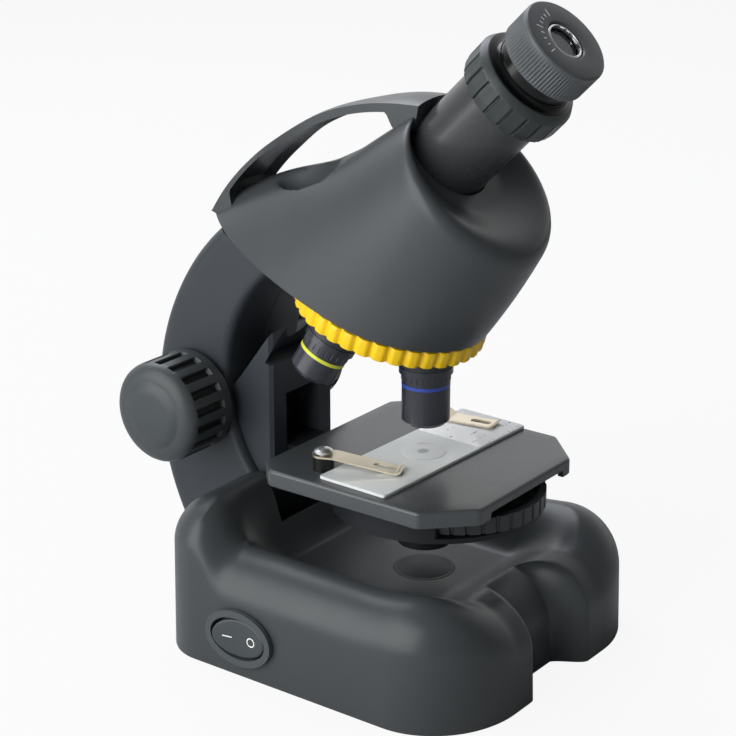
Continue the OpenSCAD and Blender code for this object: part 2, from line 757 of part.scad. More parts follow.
// A springy strip that runs from its post down to the slide; its end turns up. The knee is where
// it meets the slide's level.
module clip(angle, knee) {
  drop = post_top - stage_h - slide_thk - 0.35;
  z0 = post_top + 0.15;
  bend = clip_len - 1.3;
  translate([0, 0, z0]) rotate([0, 0, angle]) difference() {
    union() {
      rod(clip_w / 2, 0, clip_thk);
      mirror([0, 1, 0]) side_extrude(-clip_w / 2, clip_w / 2) polygon([
        [0, 0], [clip_flat, 0], [knee, -drop], [bend, -drop], [clip_len, -drop + 0.7],
        [clip_len - 0.3, -drop + 1.25], [bend - 0.2, -drop + clip_thk], [knee + 0.1, -drop + clip_thk],
        [clip_flat + 0.1, clip_thk], [0, clip_thk]
      ]);
    }
    rod(1.6 + running, -1, 2);
    for (y = slot_ends) translate([0, y - clip_len, 0]) rod(slot_r, -drop - 1, 2);
    translate([-slot_r, slot_ends[0] - clip_len, -drop - 1])
      cube([2 * slot_r, slot_ends[1] - slot_ends[0], drop + 3]);
  }
}
clip_left_angle = 23;
clip_right_angle = 8;
clip_left_knee = 23.4;
clip_right_knee = 9.5;
module clip_left() {
  color("#d8cfb8") translate([-clip_at[0], clip_at[1], 0]) clip(clip_left_angle, clip_left_knee);
}
module clip_right() {
  color("#d8cfb8") translate([clip_at[0], clip_at[1], 0]) clip(clip_right_angle, clip_right_knee);
}
slide_turn = -1.87;
slide_at = [1.9, 1.4];
module specimen_slide() {
  color([0.85, 0.93, 0.93, 0.5]) translate([slide_at[0], slide_at[1], stage_h])
    rotate([0, 0, slide_turn]) translate([-slide_len / 2, -slide_wid / 2, 0])
      cube([slide_len, slide_wid, slide_thk]);
}
// The round cup under the stage that carries the wheel's rim and the condenser.
module diaphragm_housing() {
  color("#2e3235") difference() {
    translate([0, housing_y, 0]) difference() {
      rod(housing_r, housing_z0, housing_z1);
      rod(housing_r - housing_wall, housing_z0 + housing_wall, housing_z1 + 1);
    }
    translate([-50, -70, housing_z0 + housing_wall]) cube([100, 70 - 24, 20]);
    rod(condenser_r - 2, housing_z0 - 1, housing_z0 + 4);
  }
}
condenser_z0 = stage_z0 - 23.9;
module condenser_ring() {
  color("#15171a") difference() {
    union() {
      rod(condenser_r, condenser_z0, housing_z0);
      rod(condenser_r + 2.4, housing_z0 - 1.4, housing_z0);
    }
    rod(condenser_r - 2.2, condenser_z0 - 1, housing_z0 + 1);
    translate([0, 0, condenser_z0 - eps]) cylinder(h = 1.5, r1 = condenser_r - 0.7, r2 = condenser_r - 2.2);
  }
}
module condenser_lens() {
  r = condenser_r - 2.3;
  color([0.85, 0.92, 1, 0.5]) translate([0, 0, condenser_z0 + 3]) {
    rod(r, 0, 2);
    intersection() {
      translate([0, 0, 10.2]) sphere(r = 12, $fn = 96);
      rod(r, -3, 0.01);
    }
  }
}
module diaphragm_screw() {
  color("silver") translate([0, wheel_y, 0]) {
    rod(3.6, housing_z0 + housing_wall + 0.5, housing_z0 + housing_wall + 1.9);
    rod(2, housing_z0 + housing_wall + 1.8, stage_h - stage_skin + 1.6);
  }
}
aperture_d = [3, 5, 7, 9, 11, 13];
module diaphragm_disc() {
  z0 = housing_z0 + housing_wall + 0.6;
  rim_h = 5.2;
  web = 1.6;
  color("#1b1d20") translate([0, wheel_y, 0]) difference() {
    union() {
      pipe(wheel_r, wheel_r - 2.4, z0, z0 + rim_h);
      rod(wheel_r - 2, z0 + 1.6, z0 + 1.6 + web);
      rod(4.5, z0 + 1.6, z0 + rim_h);
    }
    rod(2 + running, z0 - 1, z0 + 20);
    for (k = [0:5]) rotate([0, 0, 60 * k]) translate([0, -wheel_y, z0 - 1])
      rod(aperture_d[k] / 2, 0, 8);
    for (k = [0:35]) rotate([0, 0, 10 * k]) translate([wheel_r, 0, z0 - 1]) rod(0.7, 0, rim_h + 2);
  }
}

// ---- turret ----

module in_turret() {
  translate([0, turret_y, turret_h]) rotate([turret_tilt, 0, 0]) children();
}
// The objective's own frame: its axis is -Z, with its origin in the turret's face.
module at_objective(k) {
  in_turret() rotate([0, 0, 120 * k]) translate([0, -pivot_r, 0]) rotate([-turret_tilt, 0, 0]) children();
}
nose_r = ring_r - 5;
nose_z0 = 0.4;
nose_z1 = ring_thk + 0.2;
seat_len = 8.6;
seat_r = 8.5;
stub_r = 5.6;
module nosepiece() {
  color("#23262a") difference() {
    union() {
      in_turret() rod(nose_r, nose_z0, nose_z1);
      for (k = [0:2]) at_objective(k) rod(seat_r, -seat_len, 2);
    }
    in_turret() {
      rod(2.5 + running, -20, 20);
      rod(5, -20, nose_z0 + 0.01);
      rod(40, nose_z1, 30);
    }
    for (k = [0:2]) at_objective(k) {
      rod(stub_r + 0.1, -20, -seat_len + 4);
      rod(4.5, -20, 20);
    }
  }
}
module grip_ring() {
  n = ring_scallops * 6;
  depth = 0.9;
  color("#f2c81c") in_turret() difference() {
    linear_extrude(ring_thk) polygon([for (k = [0:n - 1]) let (
      a = 360 * k / n, r = ring_r - depth * pow(0.5 - 0.5 * cos(ring_scallops * a), 1.5)
    ) r * [cos(a), sin(a)]]);
    rod(nose_r + 0.1, -1, ring_thk + 1);
  }
}
// Objective body: threaded stub, flange, ribbed band, and barrel with a rounded nose.
band_from = 14.9;
band_to = 17.2;
module objective(k) {
  length = objective_len[k];
  ring_at = ring_place(k);
  r = objective_r;
  at_objective(k) difference() {
    union() {
      rod(stub_r, -seat_len - 1, -seat_len + 3.6);
      rod(r + 0.9, -seat_len - 2.3, -seat_len - 0.1);
      rod(r + 0.2, -seat_len - 4.6, -seat_len - 2.2);
      rod(r, -length + 1.4, -seat_len - 4.5);
      translate([0, 0, -length]) cylinder(h = 1.41, r1 = r - 1.4, r2 = r, $fn = 96);
    }
    pipe(r + 2, r - 0.45, -ring_at - ring_w, -ring_at);
    rod(r - 2.6, -length - 1, -length + 6);
    rod(3.4, -length, 1);
    for (j = [0:23]) rotate([0, 0, 15 * j]) translate([r + 0.35, 0, -seat_len - 4.5]) rod(0.35, 0, 2.1);
  }
}
ring_w = 1.2;
function ring_place(k) = objective_len[k] > 20 ? 14.2 : objective_len[k] - 2.8;
module objective_ring(k) {
  at_objective(k) pipe(objective_r + 0.05, objective_r - 0.4, -ring_place(k) - ring_w + 0.05, -ring_place(k) - 0.05);
}
module objective_high() { color("#30353d") objective(0); }
module objective_medium() { color("#34363a") objective(2); }
module objective_low() { color("#34363a") objective(1); }
module ring_high() { color("#3350a0") objective_ring(0); }
module ring_medium() { color("#dfe060") objective_ring(2); }
module ring_low() { color("#c03030") objective_ring(1); }
module objective_lenses() {
  color([0.8, 0.9, 1, 0.5]) for (k = [0:2]) at_objective(k)
    rod(objective_r - 2.7, -objective_len[k] + 1.2, -objective_len[k] + 3.4);
}
module turret_screw() {
  color("silver") in_turret() {
    rod(4.6, -1.5, 0.1);
    rod(2.5, 0, rim_z + 7);
  }
}
detent_y = 20;
module detent_plunger() {
  color("silver") in_turret() translate([0, detent_y, 0]) {
    translate([0, 0, rim_z + 1.9]) sphere(r = 1.85, $fn = 48);
    rod(1.7, rim_z + 3.8, rim_z + 7.4);
  }
}

// ---- head ----

fold_h = turret_h + fold_up;
face_z = 15.9;                 // the head's face, along the eyepiece axis from the fold
face_drop = face_r - 16;             // the face's centre below the eyepiece axis
dish = 5;
hole_r = tube_r + 0.6;
tail_power = 1.2;

function turret_pt(p) = [
  p[0], turret_y + cos(turret_tilt) * p[1] - sin(turret_tilt) * p[2],
  turret_h + sin(turret_tilt) * p[1] + cos(turret_tilt) * p[2]
];
function tube_pt(p) = [
  p[0], cos(tube_tilt) * p[1] - sin(tube_tilt) * p[2],
  fold_h + sin(tube_tilt) * p[1] + cos(tube_tilt) * p[2]
];
module in_tube() { translate([0, 0, fold_h]) rotate([tube_tilt, 0, 0]) children(); }

// The rim is a circle in front and a teardrop behind, in the turret's plane.
function rim_pt(a, inset, tail) = let (c = cos(a), s = sin(a)) [
  (head_half_w - inset) * sign(c) * pow(abs(c), s > 0 ? tail_power : 1),
  s > 0 ? tail * s : (head_front - inset) * s
];
function edge_round_at(a, inset) = max(0.3, 3.6 - 2.6 * sin(a) - max(0, inset));
// Keeps a point of the head's wall clear of the eyepiece tube's hole.
function off_tube(q) = q * max(1, (hole_r + 0.35) / norm(q));
function face_pt(a, inset, turn) = let (
  r = edge_round_at(a, inset), m = face_r - inset - r * (1 - cos(turn)),
  q = off_tube([m * cos(a), m * sin(a) - face_drop])
) tube_pt([q[0], q[1], face_z - inset - r * (1 - sin(turn))]);
// Hollow in the head's back, below the carry handle.
function saddle(t, a) = 4.4 * exp(-pow((t - 0.63) / 0.226, 2)) * pow(max(0, sin(a)), 3);
function body_pt(t, a, inset) = let (
  r = rim_pt(a, inset, head_tail - 1.8 * inset),
  low = turret_pt([r[0], r[1], rim_z]), high = face_pt(a, inset, 0)
) low + (high - low) * t - [0, 0, saddle(t, a)];
function dish_pt(s, a, inset) = let (
  r = edge_round_at(a, inset),
  q = off_tube((face_r - inset - r) * [cos(a), sin(a)] - [0, face_drop]),
  h = hole_r * [cos(a), sin(a)], m = q + (h - q) * s
) tube_pt([m[0], m[1], face_z - inset - dish * ease(s * 1.25)]);

module head_shell() {
  n = 40;
  turns = [for (k = [0:n - 1]) 360 * k / n];
  outer = concat(
    [for (t = [0:0.125:1]) [for (a = turns) body_pt(t, a, 0)]],
    [for (b = [30, 60, 90]) [for (a = turns) face_pt(a, 0, b)]],
    [for (s = [0.45, 1]) [for (a = turns) dish_pt(s, a, 0)]]
  );
  inner = concat(
    [for (s = [1, 0.45]) [for (a = turns) dish_pt(s, a, head_wall)]],
    [for (b = [90, 45]) [for (a = turns) face_pt(a, head_wall, b)]],
    [for (t = [1:-0.2:0]) [for (a = turns) body_pt(max(0, t), a, head_wall)]]
  );
  color("#505558") difference() {
    union() {
      skin(concat(outer, inner), closed = true);
      for (s = [-1, 1]) in_turret() translate([s * head_boss_x, head_boss_y, 0]) rod(4.3, rim_z + 2.8, 24);
    }
    for (s = [-1, 1]) in_turret() translate([s * head_boss_x, head_boss_y, 0]) rod(1.3, 0, 18);
  }
}
head_boss_x = head_half_w - 6.2;
head_boss_y = 5;
head_plate_thk = 2.5;
plate_z0 = rim_z + 0.1;
plate_z1 = plate_z0 + head_plate_thk;
module head_plate() {
  turns = [for (k = [0:59]) 6 * k];
  color(dark_colour) difference() {
    in_turret() union() {
      translate([0, 0, plate_z0]) linear_extrude(head_plate_thk)
        polygon([for (a = turns) rim_pt(a, head_wall + 0.5, head_tail - 14)]);
      rod(6, plate_z1 - eps, plate_z1 + 5);
      translate([0, detent_y, 0]) rod(3.6, plate_z1 - eps, plate_z1 + 6);
    }
    in_turret() {
      rod(2.53, 0, 60);
      translate([0, detent_y, 0]) rod(1.95, 0, rim_z + 7.6);
      for (s = [-1, 1]) translate([s * head_boss_x, head_boss_y, 0]) {
        rod(1.5, 0, 20);
        rod(2.7, 0, plate_z0 + 1.3);
      }
    }
    rod(6, turret_h - 20, turret_h + 40);
    for (s = [0, 1]) head_screw_place(s) rod(1.5, -30, 30);
  }
}
// Two screws that hold the head's plate down on the arm.
module head_screw_place(s) {
  in_turret() translate([s == 0 ? -9 : 9, 44, 0]) children();
}
module head_screws() {
  color("silver") {
    for (s = [-1, 1]) in_turret() translate([s * head_boss_x, head_boss_y, plate_z0 + 1.3])
      screw(2.5, 1.2, 1.25, 9);
    for (s = [0, 1]) head_screw_place(s) translate([0, 0, plate_z1 + 0.02])
      mirror([0, 0, 1]) screw(2.6, 1.5, 1.35, 9);
  }
}
// The strap handle lies between two arcs. It is crowned on top and hollow below, and widens
// towards the tube and towards the tail.
handle_out = [-2.2, 87.2, 93.2];        // centre y, centre z and radius
handle_in = [-0.7, 86.5, 90.8];
handle_crown = 1.2;
handle_hollow = 1.4;
root_flare = 3;
tail_flare = 4.6;
function strap_half_w(y) = handle_half_w + root_flare * ease((38 - y) / 38)
  + tail_flare * ease((y - 40.3) / 19.4);
function strap_pt(c, a, s, rise) = let (r = c[2] + rise * (1 - s * s)) [
  s * strap_half_w(c[0] + c[2] * cos(a)), c[0] + r * cos(a), c[1] + r * sin(a)
];
module carry_handle() {
  lift = fold_h - 156;
  across = [-1:0.5:1];
  color("#505558") difference() {
    intersection() {
      translate([0, 0, lift]) skin([for (k = [0:20]) let (a = mix(27, 91, k / 20)) concat(
        [for (s = across) strap_pt(handle_out, a, s, handle_crown)],
        [for (s = across) strap_pt(handle_in, a, -s, handle_hollow)]
      )]);
      side_extrude(-20, 20) polygon([
        [-30, turret_plane(-30, rim_z + 0.2)], [110, turret_plane(110, rim_z + 0.2)], [110, 260], [-30, 260]
      ]);
    }
    in_tube() rod(tube_r + 0.3, -5, 60);
    skin(concat(
      [for (t = [0:0.125:1]) [for (k = [0:39]) body_pt(t, 9 * k, -0.25)]],
      [for (b = [30, 60, 90]) [for (k = [0:39]) face_pt(9 * k, -0.25, b)]]
    ));
  }
}
// ---- eyepiece ----

tube_top = face_z + tube_out;
collar_top = tube_top + collar_len;
cap_z0 = collar_top + neck_len;
cap_top = cap_z0 + cap_len;
barrel_r = tube_r - tube_wall - running;
flange_z1 = face_z - dish - head_wall - 0.15;
module eyepiece_tube() {
  color("#3b3e42") in_tube() difference() {
    union() {
      rod(tube_r, flange_z1 - 2, tube_top);
      rod(tube_r + 1.2, flange_z1 - 2, flange_z1);
      rod(tube_r - 0.5, tube_top - eps, collar_top - 1.6);
    }
    rod(tube_r - tube_wall, -10, 80);
  }
}
collar_ribs = 24;
module eyepiece_collar() {
  color("#303438") in_tube() difference() {
    union() {
      rod(collar_r, tube_top + 0.3, collar_top - 1.8);
      translate([0, 0, collar_top - 1.81]) cylinder(h = 1.81, r1 = collar_r, r2 = collar_r - 1.6, $fn = 96);
    }
    rod(tube_r - 0.5 + running, 0, collar_top - 1.3);
    rod(barrel_r + 0.4, 0, 90);
    for (k = [0:collar_ribs - 1]) rotate([0, 0, 360 * k / collar_ribs])
      translate([collar_r - 0.5, -0.35, tube_top]) cube([2, 0.7, collar_len - 2.6]);
  }
}
module eyepiece_barrel() {
  color("#101214") in_tube() difference() {
    rod(barrel_r, cap_z0 - 41, cap_z0 + 7.3);
    rod(barrel_r - 1, 0, 90);
  }
}
eye_hole_r = 6.6;
module eyepiece_cap() {
  band_pitch = (cap_len - 1.4) / 4;
  color("#2c3034") in_tube() difference() {
    union() {
      rod(cap_r - 0.35, cap_z0, cap_top - 0.6);
      for (k = [0:3]) rod(cap_r, cap_z0 + 0.8 + k * band_pitch, cap_z0 - 0.1 + (k + 1) * band_pitch);
      translate([0, 0, cap_top - 0.61]) cylinder(h = 0.61, r1 = cap_r - 0.35, r2 = cap_r - 0.9, $fn = 96);
    }
    rod(barrel_r + 0.05, cap_z0 - 1, cap_top - 2);
    rod(eye_hole_r, 0, 100);
    translate([0, 0, cap_top - 0.7]) cylinder(h = 0.8, r1 = eye_hole_r, r2 = eye_hole_r + 1.2, $fn = 96);
  }
}
module eyepiece_lenses() {
  color([0.8, 0.9, 1, 0.5]) in_tube() {
    rod(barrel_r - 0.1, cap_z0 + 7.5, cap_top - 2.05);
    rod(barrel_r - 1.1, cap_z0 - 39, cap_z0 - 36.5);
  }
}
prism_w = 8;
prism_foot = fold_h - 9;
module prism() {
  color([0.8, 0.9, 1, 0.4]) side_extrude(-prism_w, prism_w) translate([0, prism_foot])
    polygon([[-7.5, 0], [7.5, 0], [7.5, 7], [0, 14.5], [-7.5, 7]]);
}
module prism_bracket() {
  wall = 1.5;
  color("#3a3e41") difference() {
    union() {
      for (s = [-1, 1]) translate([s > 0 ? prism_w + 0.1 : -prism_w - 0.1 - wall, -7, turret_h])
        cube([wall, 14, prism_foot + 9 - turret_h]);
      for (y = [-7, 5.5]) translate([-prism_w - 0.1, y, prism_foot - 1.5])
        cube([2 * prism_w + 0.2, 1.5, 1.4]);
    }
    in_turret() translate([-50, -50, -50]) cube([100, 100, 50 + plate_z1 + 0.02]);
  }
}

// ---- nodes ----

base_shell();
base_plate();
battery_door();
door_screw();
battery_cells();
battery_contacts();
rubber_feet();
base_screws();
led_board();
led_lamp();
lamp_window();
switch_bezel();
switch_body();
wires();
arm_left();
arm_right();
arm_screws();
rail_housing();
shaft_bushes();
head_shell();
head_plate();
head_screws();
carry_handle();
eyepiece_tube();
prism();
prism_bracket();
turret_screw();
detent_plunger();
rocker_switch();
focus_shaft();
focus_pinion();
knob_left();
knob_right();
stage_plate();
stage_carriage();
stage_screws();
clip_posts();
clip_screws();
diaphragm_housing();
condenser_ring();
condenser_lens();
diaphragm_screw();
specimen_slide();
clip_left();
clip_right();
diaphragm_disc();
nosepiece();
grip_ring();
objective_high();
objective_medium();
objective_low();
ring_high();
ring_medium();
ring_low();
objective_lenses();
eyepiece_collar();
eyepiece_barrel();
eyepiece_cap();
eyepiece_lenses();
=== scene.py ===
"""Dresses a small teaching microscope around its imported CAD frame.

The moulded shells that carry the microscope's looks (base, arm, head, strap handle, knobs,
eyepiece collar and cap, stage, grip ring, slide) are surfaces worked out with numpy on grids.
Sizes are in millimetres in the classes, and become metres when a mesh is made.
"""
from __future__ import annotations

import json
import logging
import math
from dataclasses import dataclass, field
from enum import Enum

import bpy
import numpy as np
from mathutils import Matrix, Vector

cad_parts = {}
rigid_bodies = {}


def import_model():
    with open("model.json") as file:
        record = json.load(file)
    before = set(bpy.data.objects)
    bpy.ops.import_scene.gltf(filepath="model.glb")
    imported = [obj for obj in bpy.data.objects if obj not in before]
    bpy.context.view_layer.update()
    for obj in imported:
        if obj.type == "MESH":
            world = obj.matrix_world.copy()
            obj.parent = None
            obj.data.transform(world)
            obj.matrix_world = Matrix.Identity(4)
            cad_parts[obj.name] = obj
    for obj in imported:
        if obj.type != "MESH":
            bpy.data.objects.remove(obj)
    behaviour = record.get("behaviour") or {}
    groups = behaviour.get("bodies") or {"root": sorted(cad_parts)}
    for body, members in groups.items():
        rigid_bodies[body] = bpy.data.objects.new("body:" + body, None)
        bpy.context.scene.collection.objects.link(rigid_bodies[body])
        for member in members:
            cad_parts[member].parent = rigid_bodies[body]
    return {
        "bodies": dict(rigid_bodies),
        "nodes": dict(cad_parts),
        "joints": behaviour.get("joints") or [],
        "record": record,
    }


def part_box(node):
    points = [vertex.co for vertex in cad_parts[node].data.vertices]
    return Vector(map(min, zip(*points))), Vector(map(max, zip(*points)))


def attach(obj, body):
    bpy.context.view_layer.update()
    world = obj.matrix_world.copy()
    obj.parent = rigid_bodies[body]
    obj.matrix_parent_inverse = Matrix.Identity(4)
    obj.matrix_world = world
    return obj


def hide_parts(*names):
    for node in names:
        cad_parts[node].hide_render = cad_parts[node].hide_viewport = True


MM = 0.001
CREASE = 32.0
BASE_HALF_W = 58.0
SWITCH_AT = (30.2, 13.9)
STAGE_TOP = 64.4
LOG = logging.getLogger("microscope")
Array = np.ndarray
Pair = tuple[float, float]
Triple = tuple[float, float, float]
Run = Pair


class Body(Enum):
    """The bodies of the frame that new pieces ride on."""

    HOUSING = "housing"
    ROCKER = "rocker"
    KNOBS = "focus_knobs"
    STAGE = "stage"
    TURRET = "turret"
    COLLAR = "collar"
    EYEPIECE = "eyepiece"


# ---- small mathematics ----


def ease(t: Array | float) -> Array:
    """A smooth step: three u squared minus two u cubed, with u the place t held between 0 and 1."""
    u = np.clip(t, 0.0, 1.0)
    return u * u * (3.0 - 2.0 * u)


def step(x: Array | float, run: Run) -> Array:
    """A smooth step over a run: its start and its length, which is negative where it rises backwards."""
    return ease((x - run[0]) / run[1])


def blend(a: Array | float, b: Array | float, t: Array | float) -> Array:
    """A straight mix: a plus t times the way from a to b."""
    return a + (b - a) * t


def turns(count: int) -> Array:
    """Evenly spaced angles round a full turn, in radians."""
    return np.linspace(0.0, 2.0 * math.pi, count, endpoint=False)


def phase(a: Array, count: int) -> Array:
    """How far angles lie from the nearest of evenly spaced grooves, as a share of their spacing."""
    return np.abs(((a * count / (2 * math.pi)) % 1) - 0.5)[None]


def quarter(count: int) -> Array:
    """Evenly spaced angles from 0 to a right angle, in radians, with both ends."""
    return np.radians(np.linspace(0, 90, count))


def spin(p: Array, degrees: float) -> Array:
    """Turns points of a plane counter-clockwise about its origin."""
    c, s = math.cos(math.radians(degrees)), math.sin(math.radians(degrees))
    return np.stack([p[..., 0] * c - p[..., 1] * s, p[..., 0] * s + p[..., 1] * c], -1)


def at_height(plan: Array, z: Array | float) -> Array:
    """Gives the points of a plan outline their height."""
    return np.column_stack([plan, np.broadcast_to(z, len(plan))])


def circles(r: Array | float, a: Array, z: Array | float) -> Array:
    """Points round the Z axis, at radius r, angle a and height z."""
    return np.stack([r * np.cos(a), r * np.sin(a), z + 0 * a], -1)


def lathe(profile: list[Pair], count: int = 96) -> Array:
    """Rings of a body of revolution about Z: each profile point (radius, height) runs round a circle."""
    line = np.array(profile)
    return circles(line[:, :1], turns(count), line[:, 1:])


def soften(rows: Array, passes: int, first: int, last: int) -> Array:
    """Rounds creases across rows: each row becomes a quarter, half, quarter mix of its neighbours.

    Args:
        rows: Points as (row, around, 3).
        passes: How often the mix is made.
        first: The first row that may move.
        last: The row after the last that may move.
    Returns:
        The softened rows.
    """
    out = rows.copy()
    for _ in range(passes):
        out[first:last] = (out[first - 1:last - 1] + 2 * out[first:last] + out[first + 1:last + 1]) / 4
    return out


def resample(line: Array, count: int) -> Array:
    """Walks a polyline in equal steps of its own length.

    Args:
        line: Points as (n, k).
        count: How many points come back.
    Returns:
        The evenly spaced points as (count, k).
    """
    gaps = np.linalg.norm(np.diff(line, axis=0), axis=1)
    along = np.concatenate([[0.0], np.cumsum(gaps)])
    where = np.linspace(0.0, along[-1], count)
    return np.stack([np.interp(where, along, line[:, k]) for k in range(line.shape[1])], -1)


def round_loop(corners: Array, spacing: float, passes: int) -> Array:
    """A closed outline with softened corners: the polygon is cut into equal steps, then each point
    becomes a quarter, half, quarter mix of its neighbours.

    Args:
        corners: The polygon as (n, 2).
        spacing: How far apart the points are.
        passes: How often the mix is made.
    Returns:
        The outline as (m, 2).
    """
    closed = np.concatenate([corners, corners[:1]])
    length = np.linalg.norm(np.diff(closed, axis=0), axis=1).sum()
    out = resample(closed, int(length / spacing) + 1)[:-1]
    for _ in range(passes):
        out = (np.roll(out, 1, 0) + 2 * out + np.roll(out, -1, 0)) / 4
    return out


def rectangle(x0: float, x1: float, y0: float, y1: float) -> Array:
    """The four corners of a rectangle, counter-clockwise."""
    return np.array([[x0, y0], [x1, y0], [x1, y1], [x0, y1]])


def outward(loop: Array) -> Array:
    """Unit normals of a closed counter-clockwise outline: its tangent turned a quarter to the right.

    Args:
        loop: The outline as (n, 2).
    Returns:
        The normals as (n, 2).
    """
    tangent = np.roll(loop, -1, 0) - np.roll(loop, 1, 0)
    tangent /= np.linalg.norm(tangent, axis=1, keepdims=True) + 1e-9
    return np.stack([tangent[:, 1], -tangent[:, 0]], -1)


@dataclass(frozen=True)
class Tilted:
    """A frame that is turned about X and stands at (0, y, z) in the row frame."""

    y: float
    z: float
    degrees: float

    def to_row(self, p: Array) -> Array:
        """Carries points from this frame into the row frame: a turn about X, then a shift."""
        return np.concatenate([p[..., :1], spin(p[..., 1:], self.degrees) + (self.y, self.z)], -1)

    def from_row(self, p: Array) -> Array:
        """Carries points from the row frame into this frame."""
        return np.concatenate([p[..., :1], spin(p[..., 1:] - (self.y, self.z), -self.degrees)], -1)


TURRET = Tilted(14.4, 108.6, 17.5)
TUBE = Tilted(0.0, 156.0, 45.0)


def stand(name: str, data: bpy.types.ID) -> bpy.types.Object:
    """Makes an object from a mesh, lamp or camera and links it to the scene.

    Args:
        name: The name it gets.
        data: The object's data.
    Returns:
        The object.
    """
    made = bpy.data.objects.new(name, data)
    bpy.context.scene.collection.objects.link(made)
    return made


class Skin:
    """Closed grids of points that are gathered into one mesh."""

    def __init__(self) -> None:
        """Starts with nothing in it."""
        self.points: list[Array] = []
        self.faces: list[list[int]] = []
        self.count = 0

    def add(self, rings: Array, loop: bool = False) -> Skin:
        """Joins rings of equal size by quads; open ends are closed with a fan, and the whole is turned
        so that its signed volume is positive.

        Args:
            rings: Points as (row, around, 3), in millimetres.
            loop: Whether the last ring joins the first.
        Returns:
            This skin, for chaining.
        """
        m, n, _ = rings.shape
        index = np.arange(m * n).reshape(m, n)
        side = np.roll(index, -1, 1)
        quads = np.stack([index[:-1], side[:-1], side[1:], index[1:]], -1).reshape(-1, 4)
        points = rings.reshape(-1, 3)
        tris = np.zeros((0, 3), int)
        if loop:
            quads = np.concatenate([quads, np.stack([index[-1], side[-1], side[0], index[0]], -1)])
        else:
            points = np.concatenate([points, rings[0].mean(0)[None], rings[-1].mean(0)[None]])
            low = np.stack([np.full(n, m * n), side[0], index[0]], -1)
            high = np.stack([np.full(n, m * n + 1), index[-1], side[-1]], -1)
            tris = np.concatenate([low, high])
        halves = np.concatenate([quads[:, [0, 1, 2]], quads[:, [0, 2, 3]], tris])
        a, b, c = (points[halves[:, k]] for k in range(3))
        if np.einsum("ij,ij->", a, np.cross(b, c)) < 0:
            quads, tris = quads[:, ::-1], tris[:, ::-1]
        self.points.append(points)
        self.faces += (quads + self.count).tolist() + (tris + self.count).tolist()
        self.count += len(points)
        return self

    def build(self, name: str, crease: float = CREASE) -> bpy.types.Object:
        """Makes the object, smooth except across edges sharper than the crease angle.

        Args:
            name: The piece's name.
            crease: The angle in degrees past which an edge stays sharp.
        Returns:
            The new object, linked to the scene.
        """
        mesh = bpy.data.meshes.new(name)
        mesh.from_pydata(np.concatenate(self.points) * MM, [], self.faces)
        mesh.shade_smooth()
        mesh.set_sharp_from_angle(angle=math.radians(crease))
        return stand(name, mesh)


def carve(piece: bpy.types.Object, rings: Array) -> None:
    """Takes the volume inside closed rings out of a piece for good.

    Args:
        piece: The closed mesh that is cut.
        rings: The cutter's points as (row, around, 3), in millimetres.
    """
    cutter = Skin().add(rings).build("cutter")
    cut = piece.modifiers.new("carve", "BOOLEAN")
    cut.operation, cut.solver, cut.object = "DIFFERENCE", "EXACT", cutter
    graph = bpy.context.evaluated_depsgraph_get()
    done = bpy.data.meshes.new_from_object(piece.evaluated_get(graph))
    piece.modifiers.clear()
    old, piece.data = piece.data, done
    done.name = piece.name
    done.set_sharp_from_angle(angle=math.radians(CREASE))
    bpy.data.meshes.remove(old)
    bpy.data.meshes.remove(cutter.data)


# ---- finishes ----


def linear(code: str, factor: float = 1.0) -> tuple[float, ...]:
    """Turns a screen colour into scene-linear light, made paler or darker by a factor.

    Args:
        code: A colour such as "#4b5053".
        factor: What its light is multiplied by; the product is held at 1.
    Returns:
        Red, green, blue and an alpha of 1.
    """
    parts = [int(code[k:k + 2], 16) / 255 for k in (1, 3, 5)]
    light = [p / 12.92 if p < 0.04045 else ((p + 0.055) / 1.055) ** 2.4 for p in parts]
    return (*(min(1.0, p * factor) for p in light), 1.0)


class Tree:
    """A node tree and the one method that adds nodes to it."""

    def __init__(self, tree: bpy.types.NodeTree) -> None:
        """Takes a tree and empties it."""
        self.tree = tree
        tree.nodes.clear()

    def join(self, node: bpy.types.Node, inputs: dict) -> None:
        """Gives sockets of a node, by name or number, their values, sockets or Wires.

        Args:
            node: The node that is fed.
            inputs: Values, sockets or Wires by socket name or number.
        """
        for key, value in inputs.items():
            value = value.socket if isinstance(value, Wire) else value
            if isinstance(value, bpy.types.NodeSocket):
                self.tree.links.new(value, node.inputs[key])
            else:
                node.inputs[key].default_value = value

    def node(self, kind: str, settings: dict, inputs: dict) -> bpy.types.Node:
        """Adds a node: its settings are set first, then its sockets get values or links.

        Args:
            kind: The node type's name after "ShaderNode".
            settings: Attributes of the node.
            inputs: Values, sockets or Wires by socket name or number.
        Returns:
            The node.
        """
        made = self.tree.nodes.new("ShaderNode" + kind)
        for key, value in settings.items():
            setattr(made, key, value)
        self.join(made, inputs)
        return made


